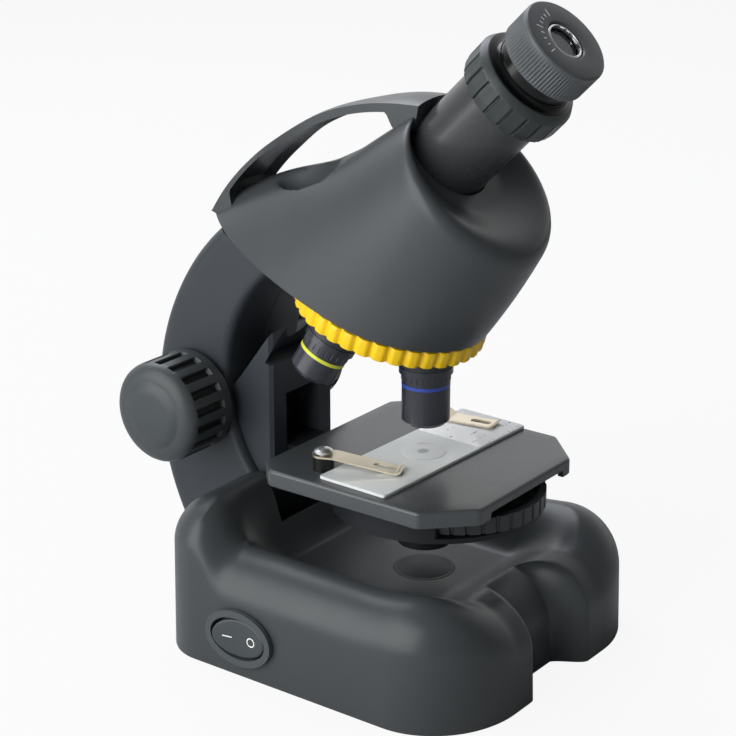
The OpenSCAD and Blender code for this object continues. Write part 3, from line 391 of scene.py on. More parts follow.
class Graph(Tree):
    """The nodes of one material, with its Principled shader."""

    def __init__(self, name: str) -> None:
        """Makes a material with a shader and its output.

        Args:
            name: The name it gets.
        """
        self.material = bpy.data.materials.new(name)
        self.material.use_nodes = True
        super().__init__(self.material.node_tree)
        self.shader = self.node("BsdfPrincipled", {}, {})
        self.out = self.node("OutputMaterial", {}, {0: self.shader.outputs[0]})
        self.place = self.node("TexCoord", {}, {}).outputs["Object"]

    def noise(self, size_mm: float, detail: float = 2.0, stretch: tuple[float, ...] = (1, 1, 1)) -> Wire:
        """Soft random mottling from 0 to 1.

        Args:
            size_mm: The size of its features.
            detail: How many finer layers it has.
            stretch: The scale along each axis; features are longer where it is small.
        Returns:
            The noise.
        """
        where = self.place
        if stretch != (1, 1, 1):
            where = self.node("Mapping", {}, {"Vector": where, "Scale": stretch}).outputs[0]
        made = self.node("TexNoise", {}, {"Vector": where, "Scale": 1000.0 / size_mm, "Detail": detail})
        return Wire(self, made.outputs[0])

    def axis(self, name: str) -> Wire:
        """One of the place's coordinates, in metres."""
        return Wire(self, self.node("SeparateXYZ", {}, {0: self.place}).outputs[name])

    def mix(self, amount: Wire, a: tuple | bpy.types.NodeSocket, b: tuple) -> bpy.types.NodeSocket:
        """A colour between a and b."""
        return self.node("Mix", {"data_type": "RGBA"}, {0: amount, 6: a, 7: b}).outputs[2]

    def feed(self, inputs: dict) -> None:
        """Sets or links sockets of the shader."""
        self.join(self.shader, inputs)

    def bump(self, height: Wire, depth_mm: float, strength: float) -> None:
        """Lets a height from 0 to 1 tilt the surface by a relief of depth_mm."""
        made = self.node("Bump", {}, {"Strength": strength, "Distance": depth_mm * MM, "Height": height})
        self.feed({"Normal": made.outputs[0]})


class Wire:
    """A number socket that takes part in Python arithmetic."""

    def __init__(self, tree: Tree, socket: bpy.types.NodeSocket) -> None:
        """Wraps a socket."""
        self.tree, self.socket = tree, socket

    def math(self, operation: str, a: Wire | float, b: Wire | float, clamp: bool = False) -> Wire:
        """Adds one Math node."""
        made = self.tree.node("Math", {"operation": operation, "use_clamp": clamp}, {0: a, 1: b})
        return Wire(self.tree, made.outputs[0])

    def __add__(self, other: Wire | float) -> Wire:
        """Sum."""
        return self.math("ADD", self, other)

    __radd__ = __add__

    def __mul__(self, other: Wire | float) -> Wire:
        """Product."""
        return self.math("MULTIPLY", self, other)

    __rmul__ = __mul__

    def __sub__(self, other: Wire | float) -> Wire:
        """Difference."""
        return self.math("SUBTRACT", self, other)

    def __rsub__(self, other: float) -> Wire:
        """Difference from a number."""
        return self.math("SUBTRACT", other, self)

    def __pow__(self, other: float) -> Wire:
        """Power."""
        return self.math("POWER", self, other)

    def above(self, level: float, width: float) -> Wire:
        """0 below the level, 1 above it, with a ramp of the given width."""
        scaled = (self - (level - width / 2)) * (1.0 / width)
        return self.math("ADD", scaled, 0.0, True)

    def wave(self, period: float) -> Wire:
        """A sine from 0 to 1 that repeats with the period."""
        return self.math("SINE", self * (2 * math.pi / period), 0.0) * 0.5 + 0.5


@dataclass(frozen=True)
class Coating:
    """A finish: its name, its colour, and a recipe that subclasses give."""

    name: str
    colour: str

    def fill(self, g: Graph) -> None:
        """Feeds the shader of an empty graph."""
        raise NotImplementedError

    def material(self) -> bpy.types.Material:
        """Makes the material by the finish's recipe.

        Returns:
            The material.
        """
        graph = Graph(self.name)
        self.fill(graph)
        return graph.material


@dataclass(frozen=True)
class Moulded(Coating):
    """Injection-moulded plastic: faint tone changes, a fine spark-eroded grain and handling marks."""

    roughness: float = 0.42
    grain_mm: float = 0.55
    grain_depth: float = 0.02
    coat: float = 0.0
    tone: float = 0.10
    level: float = 0.32
    smear: float = 0.12

    def fill(self, g: Graph) -> None:
        """Base colour from broad and fine noise, roughness from smears, bump from the grain.

        Args:
            g: The graph whose shader is fed.
        """
        broad, smear, grain = g.noise(38, 3), g.noise(9, 4, (1, 1, 0.35)), g.noise(self.grain_mm, 2)
        tone = broad * 0.6 + grain * 0.25 + smear * 0.15
        dark, pale = linear(self.colour, 1 - self.tone), linear(self.colour, 1 + self.tone)
        g.feed({"Base Color": g.mix(tone, dark, pale),
                "Roughness": smear * self.smear + (self.roughness - self.smear / 2) + grain * 0.04,
                "Specular IOR Level": self.level, "Coat Weight": self.coat, "Coat Roughness": 0.12})
        g.bump(grain * 0.8 + smear * 0.2, self.grain_depth, 0.6)


@dataclass(frozen=True)
class Fluted(Coating):
    """Moulded plastic turned about a line along X, whose pressed-in slots get a painted shade: their floor is
    coloured darker to stand in for the shade in the recesses.
    """

    # floor: the slots' floor colour, a painted shade that stands in for the shadow inside the slots
    floor: str
    centre: Pair
    radius: float
    reach: float
    fade: float = 0.4

    def fill(self, g: Graph) -> None:
        """Base colour that turns to the floor colour, a painted shade for the slots, where a point lies under
        the radius and short of the reach along X; roughness and bump from the grain.

        Args:
            g: The graph whose shader is fed.
        """
        y, z = g.axis("Y") - self.centre[0] * MM, g.axis("Z") - self.centre[1] * MM
        # mask of the painted slot shade: under the slot radius and short of the reach along X
        painted_slot_shade = 1 - ((y * y + z * z) ** 0.5).above(self.radius * MM, self.fade * MM)
        x = g.axis("X")
        painted_slot_shade = painted_slot_shade * (1 - ((x * x) ** 0.5).above(self.reach * MM, self.fade * MM))
        smear, grain = g.noise(9, 4), g.noise(0.55, 2)
        skin = g.mix(smear * 0.6 + grain * 0.4, linear(self.colour, 0.9), linear(self.colour, 1.1))
        # slot floors get the darker floor colour: painted shade, not a colour of the plastic
        g.feed({"Base Color": g.mix(painted_slot_shade, skin, linear(self.floor)), "Roughness": smear * 0.12 + 0.36,
                "Specular IOR Level": 0.35})
        g.bump(grain * 0.8 + smear * 0.2, 0.02, 0.6)


@dataclass(frozen=True)
class Metal(Coating):
    """Plated or bare metal: brushed along one axis, with faint stains."""

    roughness: float = 0.22
    brush: Triple = (1.0, 0.08, 1.0)
    depth: float = 0.006

    def fill(self, g: Graph) -> None:
        """Roughness and bump from stretched noise, colour from faint stains.

        Args:
            g: The graph whose shader is fed.
        """
        strokes, stain = g.noise(0.5, 2, self.brush), g.noise(7, 3)
        g.feed({"Base Color": g.mix(stain, linear(self.colour, 0.86), linear(self.colour)), "Metallic": 1.0,
                "Roughness": strokes * 0.14 + stain * 0.06 + (self.roughness - 0.08)})
        g.bump(strokes, self.depth, 0.5)


@dataclass(frozen=True)
class Glass(Coating):
    """Clear or tinted glass with faint smears."""

    transmission: float = 1.0
    roughness: float = 0.03
    ior: float = 1.5

    def fill(self, g: Graph) -> None:
        """A transmissive shader whose roughness and tint vary with the smears.

        Args:
            g: The graph whose shader is fed.
        """
        smear = g.noise(6, 3)
        g.feed({"Base Color": g.mix(smear, linear(self.colour), linear(self.colour, 1.06)),
                "Roughness": smear * 0.05 + self.roughness,
                "Transmission Weight": self.transmission, "IOR": self.ior})
        g.bump(smear, 0.004, 0.2)


@dataclass(frozen=True)
class Banded(Coating):
    """A dry cell's jacket: a body colour with a second colour towards its far end along X."""

    band: str
    starts: float
    fade: float = 0.4

    def fill(self, g: Graph) -> None:
        """The band begins where X passes its start.

        Args:
            g: The graph whose shader is fed.
        """
        mask, rub = g.axis("X").above(self.starts * MM, self.fade * MM), g.noise(3, 3)
        g.feed({"Base Color": g.mix(mask, linear(self.colour), linear(self.band)),
                "Roughness": rub * 0.15 + 0.25, "Metallic": mask * 0.5 + 0.1})
        g.bump(rub, 0.01, 0.3)


@dataclass(frozen=True)
class Circuit(Coating):
    """A lacquered circuit board: fine tracks under green lacquer."""

    track: str
    pitch: float = 2.4

    def fill(self, g: Graph) -> None:
        """Tracks are where a sine wave along Y runs high inside a coarse mask.

        Args:
            g: The graph whose shader is fed.
        """
        gate = g.noise(5, 1).above(0.52, 0.03)
        lines = g.axis("Y").wave(self.pitch * MM).above(0.8, 0.1) * gate
        g.feed({"Base Color": g.mix(lines, linear(self.colour), linear(self.track)),
                "Roughness": 0.28 + gate * 0.08})
        g.bump(lines, 0.03, 0.6)


@dataclass(frozen=True)
class Printed(Coating):
    """White paper label with a faint fibre and tiny grey ruled marks."""

    ink: str
    pitch: float = 4.2

    def fill(self, g: Graph) -> None:
        """Marks stand where a fine ruling meets dashes and a coarse mask.

        Args:
            g: The graph whose shader is fed.
        """
        fibre, rule = g.noise(0.4, 3), g.axis("Y").wave(self.pitch * MM).above(0.93, 0.05)
        dashes, block = g.noise(0.9, 1, (1, 0.1, 1)).above(0.56, 0.04), g.noise(6, 0).above(0.53, 0.02)
        g.feed({"Base Color": g.mix(rule * dashes * block, linear(self.colour), linear(self.ink)),
                "Roughness": 0.6 + fibre * 0.1})
        g.bump(fibre, 0.01, 0.4)


class Finish(Enum):
    """Every finish on the microscope."""

    SHELL = Moulded("shell_satin", "#3c4042", 0.34)
    HEAD = Moulded("head_satin", "#3f4345", 0.33)
    ARM = Moulded("arm_satin", "#30353a", 0.42)
    DARK = Moulded("dark_satin", "#34393b", 0.42)
    # the third colour is a painted shade for the knob's slot floors
    KNOB = Fluted("knob_satin_painted_slot_shade", "#3b4042", "#17191a", (79.5, 72.8), 16.45, 37.4)
    STAGE = Moulded("stage_satin", "#3f4345", 0.26, 0.35, 0.004, tone=0.04, level=0.5, smear=0.02)
    CARRIAGE = Moulded("carriage_matt", "#1c1f22", 0.5, level=0.2)
    WHEEL = Moulded("wheel_satin", "#2e3235", 0.4)
    COLLAR = Moulded("collar_satin", "#34393a", 0.36)
    CAP = Moulded("cap_satin", "#505456", 0.36)
    NECK = Moulded("neck_gloss", "#08090a", 0.16, 0.8, 0.003, 0.0, level=0.3)
    TUBE = Moulded("tube_lacquer", "#38393b", 0.26, 0.7, 0.008, 0.1)
    OBJECTIVE = Moulded("objective_lacquer", "#2c2f37", 0.33, 0.6, 0.01, 0.2)
    NOSE = Moulded("nosepiece_lacquer", "#2a2d31", 0.38)
    SWITCH = Moulded("switch_gloss", "#232628", 0.26, 0.7, 0.006, 0.25)
    RUBBER = Moulded("foot_rubber", "#1b1c1d", 0.75, 0.9, 0.05)
    BEZEL = Moulded("bezel_satin", "#454a4c", 0.34, 0.6, 0.008)
    ROCKER = Moulded("rocker_satin", "#3e4345", 0.32, 0.6, 0.006)
    SPACER = Moulded("spacer_black", "#0f1011", 0.3)
    WIRE = Moulded("wire_jacket", "#8a1f1c", 0.45)
    YELLOW = Moulded("yellow_grip", "#eec40f", 0.34, 0.6, 0.01, 0.1, 0.04)
    BLUE = Moulded("blue_paint", "#2f47a0", 0.35, 0.5, 0.006, 0.2, 0.05)
    LIME = Moulded("lime_paint", "#cfd33a", 0.35, 0.5, 0.006, 0.2, 0.05)
    RED = Moulded("red_paint", "#b52a28", 0.35, 0.5, 0.006, 0.2, 0.05)
    WHITE = Moulded("white_paint", "#e8e9e6", 0.45, 0.5, 0.006, 0.0, 0.03)
    GEAR = Moulded("gear_nylon", "#d9d2c0", 0.45)
    LAMP = Moulded("lamp_resin", "#e9ecec", 0.2, 0.8, 0.004, 0.5, 0.03)
    WINDOW = Moulded("window_smoke", "#3a3e40", 0.44, level=0.25)
    SPECIMEN = Moulded("specimen_stain", "#a9b0b1", 0.5, 0.4, 0.01)
    ZINC = Metal("screw_zinc", "#e2e4e5", 0.36)
    STEEL = Metal("screw_steel", "#b9bcbe", 0.26)
    CHROME = Metal("polished_chrome", "#e4e6e8", 0.12, (1, 1, 0.1), 0.003)
    BRASS = Metal("bush_brass", "#c8a850", 0.28)
    NICKEL = Metal("clip_nickel", "#ddd3bd", 0.3, (0.08, 1.0, 1.0))
    CLEAR = Glass("lens_glass", "#eef4fb")
    EYE = Glass("eye_glass", "#7d848a", 1.0, 0.02)
    SLIDE = Glass("slide_glass", "#e6ebeb", 0.16, 0.14)
    SLIP = Glass("slip_glass", "#e6eaeb", 0.25, 0.12)
    CELL = Banded("cell_jacket", "#26282b", "#c98d32", 8.0)
    BOARD = Circuit("lamp_board", "#1d5c37", "#2f7a4c")
    LABEL = Printed("label_paper", "#fdfdfc", "#a9adae")


@dataclass
class Kit:
    """Keeps the frame and the finishes, and puts pieces on their bodies."""

    frame: dict
    made: dict[Finish, bpy.types.Material] = field(default_factory=dict)

    def paint(self, mesh: bpy.types.Mesh, which: Finish) -> None:
        """Gives a mesh one finish, whose material is made once.

        Args:
            mesh: The mesh that is painted.
            which: The finish.
        """
        if which not in self.made:
            self.made[which] = which.value.material()
        mesh.materials.clear()
        mesh.materials.append(self.made[which])

    def put(self, piece: bpy.types.Object, body: Body, slot: str, which: Finish, *nodes: str) -> None:
        """Finishes a piece and lets it ride on its body.

        Args:
            piece: The new object, with its place in its mesh.
            body: The body it moves with.
            slot: The record's material slot; not used.
            which: Its finish.
            nodes: CAD nodes that it stands for.
        """
        self.paint(piece.data, which)
        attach(piece, body.value)
        if nodes:
            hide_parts(*nodes)
        LOG.info("%s on %s: %d faces", piece.name, body.value, len(piece.data.polygons))

    def make(self, name: str, rings: Array, body: Body, slot: str, which: Finish, *nodes: str,
             loop: bool = False, crease: float = CREASE) -> None:
        """Skins rings, in millimetres, into a piece, and lets it ride on its body in its finish."""
        self.put(Skin().add(rings, loop).build(name, crease), body, slot, which, *nodes)

    def dress(self, which: Finish, *nodes: str) -> None:
        """Gives carried-over CAD nodes their finish.

        Args:
            which: Their finish.
            nodes: Their names.
        """
        for name in nodes:
            mesh = self.frame["nodes"][name].data
            self.paint(mesh, which)
            mesh.polygons.foreach_set("material_index", np.zeros(len(mesh.polygons), np.int32))


# ---- sub-assemblies ----


@dataclass
class Base:
    """The foot: a hollow moulding with two wings round a valley, a notch in front and a deck behind.

    Its slopes are runs along Y, and the wings' run is along X on both sides. The sole is the eased
    bottom edge, as insets and heights. The two holes and the channel are cut right through the wall.
    """

    half_w: float = BASE_HALF_W
    front: float = 53.3
    back: float = 67.0
    wing_h: float = 38.0
    deck_h: float = 52.0
    valley_h: float = 25.0
    wing_run: Run = (22.0, 22.0)
    sill: float = 7.0
    sill_run: Run = (-16.0, -20.0)
    lobe: float = 2.0
    lobe_run: Run = (-10.0, -25.0)
    deck_run: Run = (38.0, 14.0)
    edge: float = 15.0
    edge_power: float = 1.08
    notch: float = 9.6
    notch_flat: float = 8.5
    front_r: Pair = (31.3, 28.0)
    back_r: float = 17.0
    draft: float = 0.6
    wall: float = 2.4
    ceiling: float = 3.0
    sole: tuple[Pair, ...] = ((0.5, 0.0), (0.15, 0.2), (0.0, 0.7))
    crown_y: float = 6.0
    crown_end: float = 0.02
    lamp_r: float = 10.1
    lamp_z: Pair = (15.0, 40.0)
    switch_r: Pair = (12.0, 8.2)
    switch_x: Pair = (-64.0, -49.0)
    channel: Pair = (38.0, 58.0)
    channel_gap: float = 1.0
    channel_drop: float = 10.0
    channel_top: float = 72.0

    def corner(self, cx: float, cy: float, rx: float, ry: float, a0: float, n: int) -> Array:
        """A quarter of an ellipse with its unit normals.

        Args:
            cx: Centre in X.
            cy: Centre in Y.
            rx: Radius in X.
            ry: Radius in Y.
            a0: Start angle in degrees.
            n: Steps.
        Returns:
            Rows of x, y, normal x, normal y.
        """
        a = np.radians(np.linspace(a0, a0 + 90, n + 1))
        nx, ny = np.cos(a) / rx, np.sin(a) / ry
        m = np.hypot(nx, ny)
        return np.stack([cx + rx * np.cos(a), cy + ry * np.sin(a), nx / m, ny / m], -1)

    def outline(self) -> Array:
        """The plan outline: a flat front, elliptical front corners, straight sides and round back corners.

        Returns:
            Rows of x, y, normal x, normal y, counter-clockwise from the front centre.
        """
        w, f, b, r = self.half_w, self.front, self.back, self.back_r
        rx, ry = self.front_r
        xs = np.linspace(0, w - rx, 34, endpoint=False)
        flat = np.stack([xs, np.full_like(xs, -f), 0 * xs, 0 * xs - 1], -1)
        ys = np.linspace(ry - f, b - r, 42)[1:-1]
        side = np.stack([np.full_like(ys, w), ys, 0 * ys + 1, 0 * ys], -1)
        xb = np.linspace(w - r, 0, 20)[1:]
        rear = np.stack([xb, np.full_like(xb, b), 0 * xb, 0 * xb + 1], -1)
        half = np.concatenate([flat, self.corner(w - rx, ry - f, rx, ry, -90, 36), side,
                               self.corner(w - r, b - r, r, r, 0, 20), rear])
        left = half[1:-1][::-1] * np.array([-1, 1, -1, 1])
        return np.concatenate([half, left])

    def inset(self, p: Array, t: Array | float) -> Array:
        """Moves outline points inwards by t along their normals, and the front ones back into the notch.

        Args:
            p: The outline.
            t: How far inwards.
        Returns:
            The moved points as (n, 2).
        """
        shut = step(np.abs(p[:, 0]), (self.notch_flat, self.notch_flat))
        dent = np.where(p[:, 1] < 0, self.notch * (1 - shut), 0)
        return np.stack([p[:, 0] - p[:, 2] * t, p[:, 1] - p[:, 3] * t + dent], -1)

    def top(self, x: Array, y: Array) -> Array:
        """Height of the top over the plan: the valley rises to the wings with a smooth step in x, the
        sill and the lobes rise towards the front, and the deck rises with a smooth step in y.

        Args:
            x: Places in X.
            y: Places in Y.
        Returns:
            The heights.
        """
        wing = self.wing_h + self.lobe * step(y, self.lobe_run)
        sill = self.valley_h + self.sill * step(y, self.sill_run)
        side = step(np.abs(x), self.wing_run)
        return blend(blend(sill, wing, side), self.deck_h, step(y, self.deck_run))

    def rim(self, p: Array, inset: float, angles: Array) -> Array:
        """The rounded top edge: near-circular quarters that start on the drafted wall and end on the top.

        Args:
            p: The outline.
            inset: How far inside the outer skin the edge lies.
            angles: Where the rings lie, from 0 on the wall to a right angle on the top.
        Returns:
            Rings as (row, around, 3).
        """
        c = self.inset(p, self.edge)
        h, r, k = self.top(c[:, 0], c[:, 1]) - inset, self.edge - inset, self.edge_power
        rings = []
        for a in angles:
            across, up = 1 - max(0.0, math.cos(a)) ** k, 1 - math.sin(a) ** k
            rings.append(at_height(self.inset(p, inset + self.draft + (r - self.draft) * across), h - r * up))
        return np.stack(rings)

    def crown(self, p: Array, shares: Array, drop: float) -> Array:
        """The top inside the rounded edge: the outline shrinks towards a centre and follows the height,
        less the drop.

        Args:
            p: The outline.
            shares: How far each ring keeps from the centre, from 1 on the edge.
            drop: How far below the outer skin.
        Returns:
            Rings as (row, around, 3).
        """
        c = self.inset(p, self.edge)
        x = c[None, :, 0] * shares[:, None]
        y = self.crown_y + (c[None, :, 1] - self.crown_y) * shares[:, None]
        return np.stack([x, y, self.top(x, y) - drop], -1)

    def build(self, kit: Kit) -> None:
        """Makes the base shell with its switch hole, its lamp hole and the channel of the stage's slider.

        Args:
            kit: Takes the pieces and gives them their finish.
        """
        p, arc, shares = self.outline(), quarter(15), np.linspace(1, self.crown_end, 44)[1:]
        foot = [at_height(self.inset(p, t), z) for t, z in ((self.wall, 0.0), *self.sole)]
        rings = [self.crown(p, shares[::-3], self.ceiling), self.rim(p, self.wall, arc[::-2]), np.stack(foot),
                 self.rim(p, 0, arc), self.crown(p, shares, 0)]
        shell = Skin().add(np.concatenate(rings)).build("base_moulding")
        oval = SWITCH_AT + circles(1.0, turns(64), 0.0)[:, :2] * self.switch_r
        carve(shell, np.stack([np.column_stack([np.full(len(oval), x), oval]) for x in self.switch_x]))
        carve(shell, lathe([(self.lamp_r, z) for z in self.lamp_z]))
        low, high = (np.array(c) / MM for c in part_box("stage_carriage"))
        side = high[0] + self.channel_gap
        plan = rectangle(-side, side, *self.channel)
        carve(shell, np.stack([at_height(plan, z) for z in (low[2] - self.channel_drop, self.channel_top)]))
        kit.put(shell, Body.HOUSING, "shell", Finish.SHELL, "base_shell")


@dataclass
class Arm:
    """The bow-shaped arm between base and head, moulded in two halves that meet at X = 0.

    The groove there has a depth, and a half width at its floor and at its mouth.
    """

    out_centre: Pair = (13.3, 67.6)
    out_r: float = 86.2
    in_centre: Pair = (16.9, 81.5)
    in_r: float = 49.9
    half_w: float = 19.5
    back_round: float = 6.0
    front_round: float = 3.0
    foot_z: float = 2.6
    floor_y: float = 52.6
    top_y: float = 44.0
    top_z: float = 90.0
    lift: float = 6.2
    groove: Triple = (0.45, 0.12, 0.35)
    side_shares: tuple[float, ...] = (0.1, 0.4, 0.7, 0.92)
    rows: int = 90

    def lid(self, y: Array | float) -> Array | float:
        """Height of the plane under the head's rim at depth y."""
        t = math.radians(TURRET.degrees)
        return TURRET.z + (self.lift + (y - TURRET.y) * math.sin(t)) / math.cos(t)

    def edges(self) -> tuple[Array, Array]:
        """The front and back edges in the YZ plane, walked in equal steps from the foot to the lid.

        Returns:
            The front edge and the back edge, each as (rows, 2).
        """
        a = np.linspace(-math.pi / 3, math.pi / 2, 2000)
        back, front = (np.array(centre) + r * np.stack([np.cos(a), np.sin(a)], -1)
                       for centre, r in ((self.out_centre, self.out_r), (self.in_centre, self.in_r)))
        back = back[(back[:, 1] > self.foot_z) & (back[:, 1] < self.lid(back[:, 0]))]
        below = (front[:, 0] < self.floor_y) & (front[:, 1] < self.in_centre[1])
        beyond = (front[:, 0] < self.top_y) & (front[:, 1] > self.top_z)
        front = front[~below & ~beyond]
        front = np.concatenate([[[self.floor_y, self.foot_z]], front, [[self.top_y, self.lid(self.top_y)]]])
        return resample(front, self.rows), resample(back, self.rows)

    def build(self, kit: Kit) -> None:
        """Makes the arm: a rounded rectangle, grooved at X = 0, carried along the two edges.

        Args:
            kit: Takes the pieces and gives them their finish.
        """
        front, back = self.edges()
        depth = np.linalg.norm(back - front, axis=1)[:, None]
        across = (back - front) / depth
        b, (sunk, floor, mouth) = quarter(8), self.groove
        f, g, w = self.front_round, self.back_round, self.half_w
        near_u = np.concatenate([[sunk, 0.0], f * (1 - np.cos(b))])
        near_x = np.concatenate([[floor, mouth], w - f + f * np.sin(b)])
        far_u = np.concatenate([-g * (1 - np.cos(b[::-1])), [0.0, -sunk]])
        far_x = np.concatenate([w - g + g * np.sin(b[::-1]), [mouth, floor]])
        flat_u = f + (depth - f - g) * np.array(self.side_shares)
        side_u = np.concatenate([np.tile(near_u, (self.rows, 1)), flat_u, depth + far_u], 1)
        side_x = np.concatenate([near_x, np.full(flat_u.shape[1], w), far_x])
        ring_u = np.concatenate([side_u, side_u[:, ::-1]], 1)
        ring_x = np.concatenate([side_x, -side_x[::-1]])
        yz = front[:, None, :] + ring_u[..., None] * across[:, None, :]
        rings = np.concatenate([np.broadcast_to(ring_x[None, :, None], ring_u.shape + (1,)), yz], -1)
        kit.make("arm_moulding", rings, Body.HOUSING, "shell", Finish.ARM, "arm_left", "arm_right", crease=28)
        kit.dress(Finish.ARM, "rail_housing")


@dataclass
class Head:
    """The hooded head: a skin lofted from the rim over the turret to the round face at the tube.

    The loft's place runs from 0 at the rim to 1 at the face. Angles are in radians round the head.
    """

    half_w: float = 31.4
    front: float = 31.6
    tail: float = 74.0
    rim_z: float = 6.4
    tail_power: float = 1.2
    tail_thin: float = 1.8
    face_r: float = 29.0
    face_z: float = 15.9
    face_drop: float = 13.0
    edge_r: float = 3.6
    edge_swing: float = 2.6
    edge_least: float = 0.4
    dish: float = 5.0
    throat: float = 3.5
    hole_r: float = 14.35
    hole_gap: float = 0.35
    wall: float = 2.4
    full: float = 0.6
    full_lean: float = 0.3
    hollow: float = 4.4
    hollow_at: float = 0.63
    hollow_run: float = 0.226
    channel: float = 1.0
    channel_runs: tuple[Run, Run] = ((0.66, 0.1), (0.9, 0.1))
    channel_half: float = 0.42
    scoop: float = 6.2
    scoop_at: Pair = (0.5, 0.36)
    scoop_half: Pair = (0.16, 0.27)
    around: int = 200
    softened: tuple[int, int, int] = (8, 40, 80)

    def edge(self, a: Array, inset: float) -> Array:
        """Radius of the rounded edge of the face: broad below, tight above."""
        return np.maximum(self.edge_least, self.edge_r - self.edge_swing * np.sin(a) - inset)

    def ring(self, a: Array, m: Array) -> tuple[Array, Array]:
        """A circle of radius m below the tube, pushed out along its radius to stay clear of the hole.

        Args:
            a: Angles round the head.
            m: The circle's radius.
        Returns:
            The points in X and in Y.
        """
        x, y = m * np.cos(a), m * np.sin(a) - self.face_drop
        k = np.maximum(1, (self.hole_r + self.hole_gap) / np.hypot(x, y))
        return x * k, y * k

    def rim(self, a: Array, inset: float) -> Array:
        """The rim in the turret's frame: an ellipse in front, a teardrop behind.

        Args:
            a: Angles round the head.
            inset: How far inside the outer skin.
        Returns:
            The ring as (around, 3).
        """
        c, s = np.cos(a), np.sin(a)
        x = (self.half_w - inset) * np.sign(c) * np.abs(c) ** np.where(s > 0, self.tail_power, 1)
        y = np.where(s > 0, (self.tail - self.tail_thin * inset) * s, (self.front - inset) * s)
        return TURRET.to_row(np.stack([x, y, np.full_like(a, self.rim_z)], -1))

    def face(self, a: Array, inset: float, turn: float) -> Array:
        """A point of the rounded face edge: turn 0 is on the flank, a quarter turn is on the face.

        Args:
            a: Angles round the head.
            inset: How far inside the outer skin.
            turn: The place on the edge, in radians.
        Returns:
            The ring as (around, 3).
        """
        r = self.edge(a, inset)
        x, y = self.ring(a, self.face_r - inset - r * (1 - math.cos(turn)))
        return TUBE.to_row(np.stack([x, y, self.face_z - inset - r * (1 - math.sin(turn))], -1))

    def flank(self, t: float, a: Array, inset: float) -> Array:
        """The straight loft from rim to face, a little fuller in front and on the sides, less a soft
        hollow in the back under the handle, a channel up to the tube and a finger scoop on each side
        of the spine.

        Args:
            t: The loft's place.
            a: Angles round the head.
            inset: How far inside the outer skin the ring lies.
        Returns:
            The ring as (around, 3).
        """
        full = self.full * 4 * t * (1 - t) * np.clip(self.full_lean - np.sin(a), 0, 1)
        low, high = self.rim(a, inset - full), self.face(a, inset - full, 0)
        near = math.exp(-((t - self.hollow_at) / self.hollow_run) ** 2)
        off = np.abs((a - math.pi / 2 + math.pi) % (2 * math.pi) - math.pi)
        first, last = (step(t, run) for run in self.channel_runs)
        channel = self.channel * first * (1 - last) * np.maximum(0, 1 - (off / self.channel_half) ** 2)
        (t0, off0), (dt, doff) = self.scoop_at, self.scoop_half
        scoop = self.scoop * np.maximum(0, 1 - ((t - t0) / dt) ** 2 - ((off - off0) / doff) ** 2)
        p = low + (high - low) * t
        p[:, 2] -= self.hollow * near * np.maximum(0, np.sin(a)) ** 3 + channel + scoop
        return p

    def bowl(self, s: float, a: Array) -> Array:
        """The dished face between its edge (s = 0) and the tube's hole (s = 1).

        Args:
            s: The place on the dish.
            a: Angles round the head.
        Returns:
            The ring as (around, 3).
        """
        x, y = self.ring(a, self.face_r - self.edge(a, 0))
        x, y = blend(x, self.hole_r * np.cos(a), s), blend(y, self.hole_r * np.sin(a), s)
        return TUBE.to_row(np.stack([x, y, np.full_like(a, self.face_z - self.dish * ease(s * 1.25))], -1))

    def build(self, kit: Kit) -> None:
        """Makes the head's moulding, softened where flank, edge and face meet.

        Args:
            kit: Takes the pieces and gives them their finish.
        """
        a = turns(self.around)
        outer = [self.flank(t, a, 0) for t in np.linspace(0, 1, 64)]
        outer += [self.face(a, 0, b) for b in quarter(9)[1:]]
        outer += [self.bowl(s, a) for s in np.linspace(0, 1, 14)[1:]]
        throat = TUBE.to_row(circles(self.hole_r, a, self.face_z - self.dish - self.throat))
        inner = [self.flank(t, a, self.wall) for t in np.linspace(0.9, 0, 12)]
        rings = np.concatenate([soften(np.stack(outer), *self.softened), np.stack([throat] + inner)])
        kit.make("head_moulding", rings, Body.HOUSING, "head", Finish.HEAD, "head_shell",
                 loop=True, crease=40)


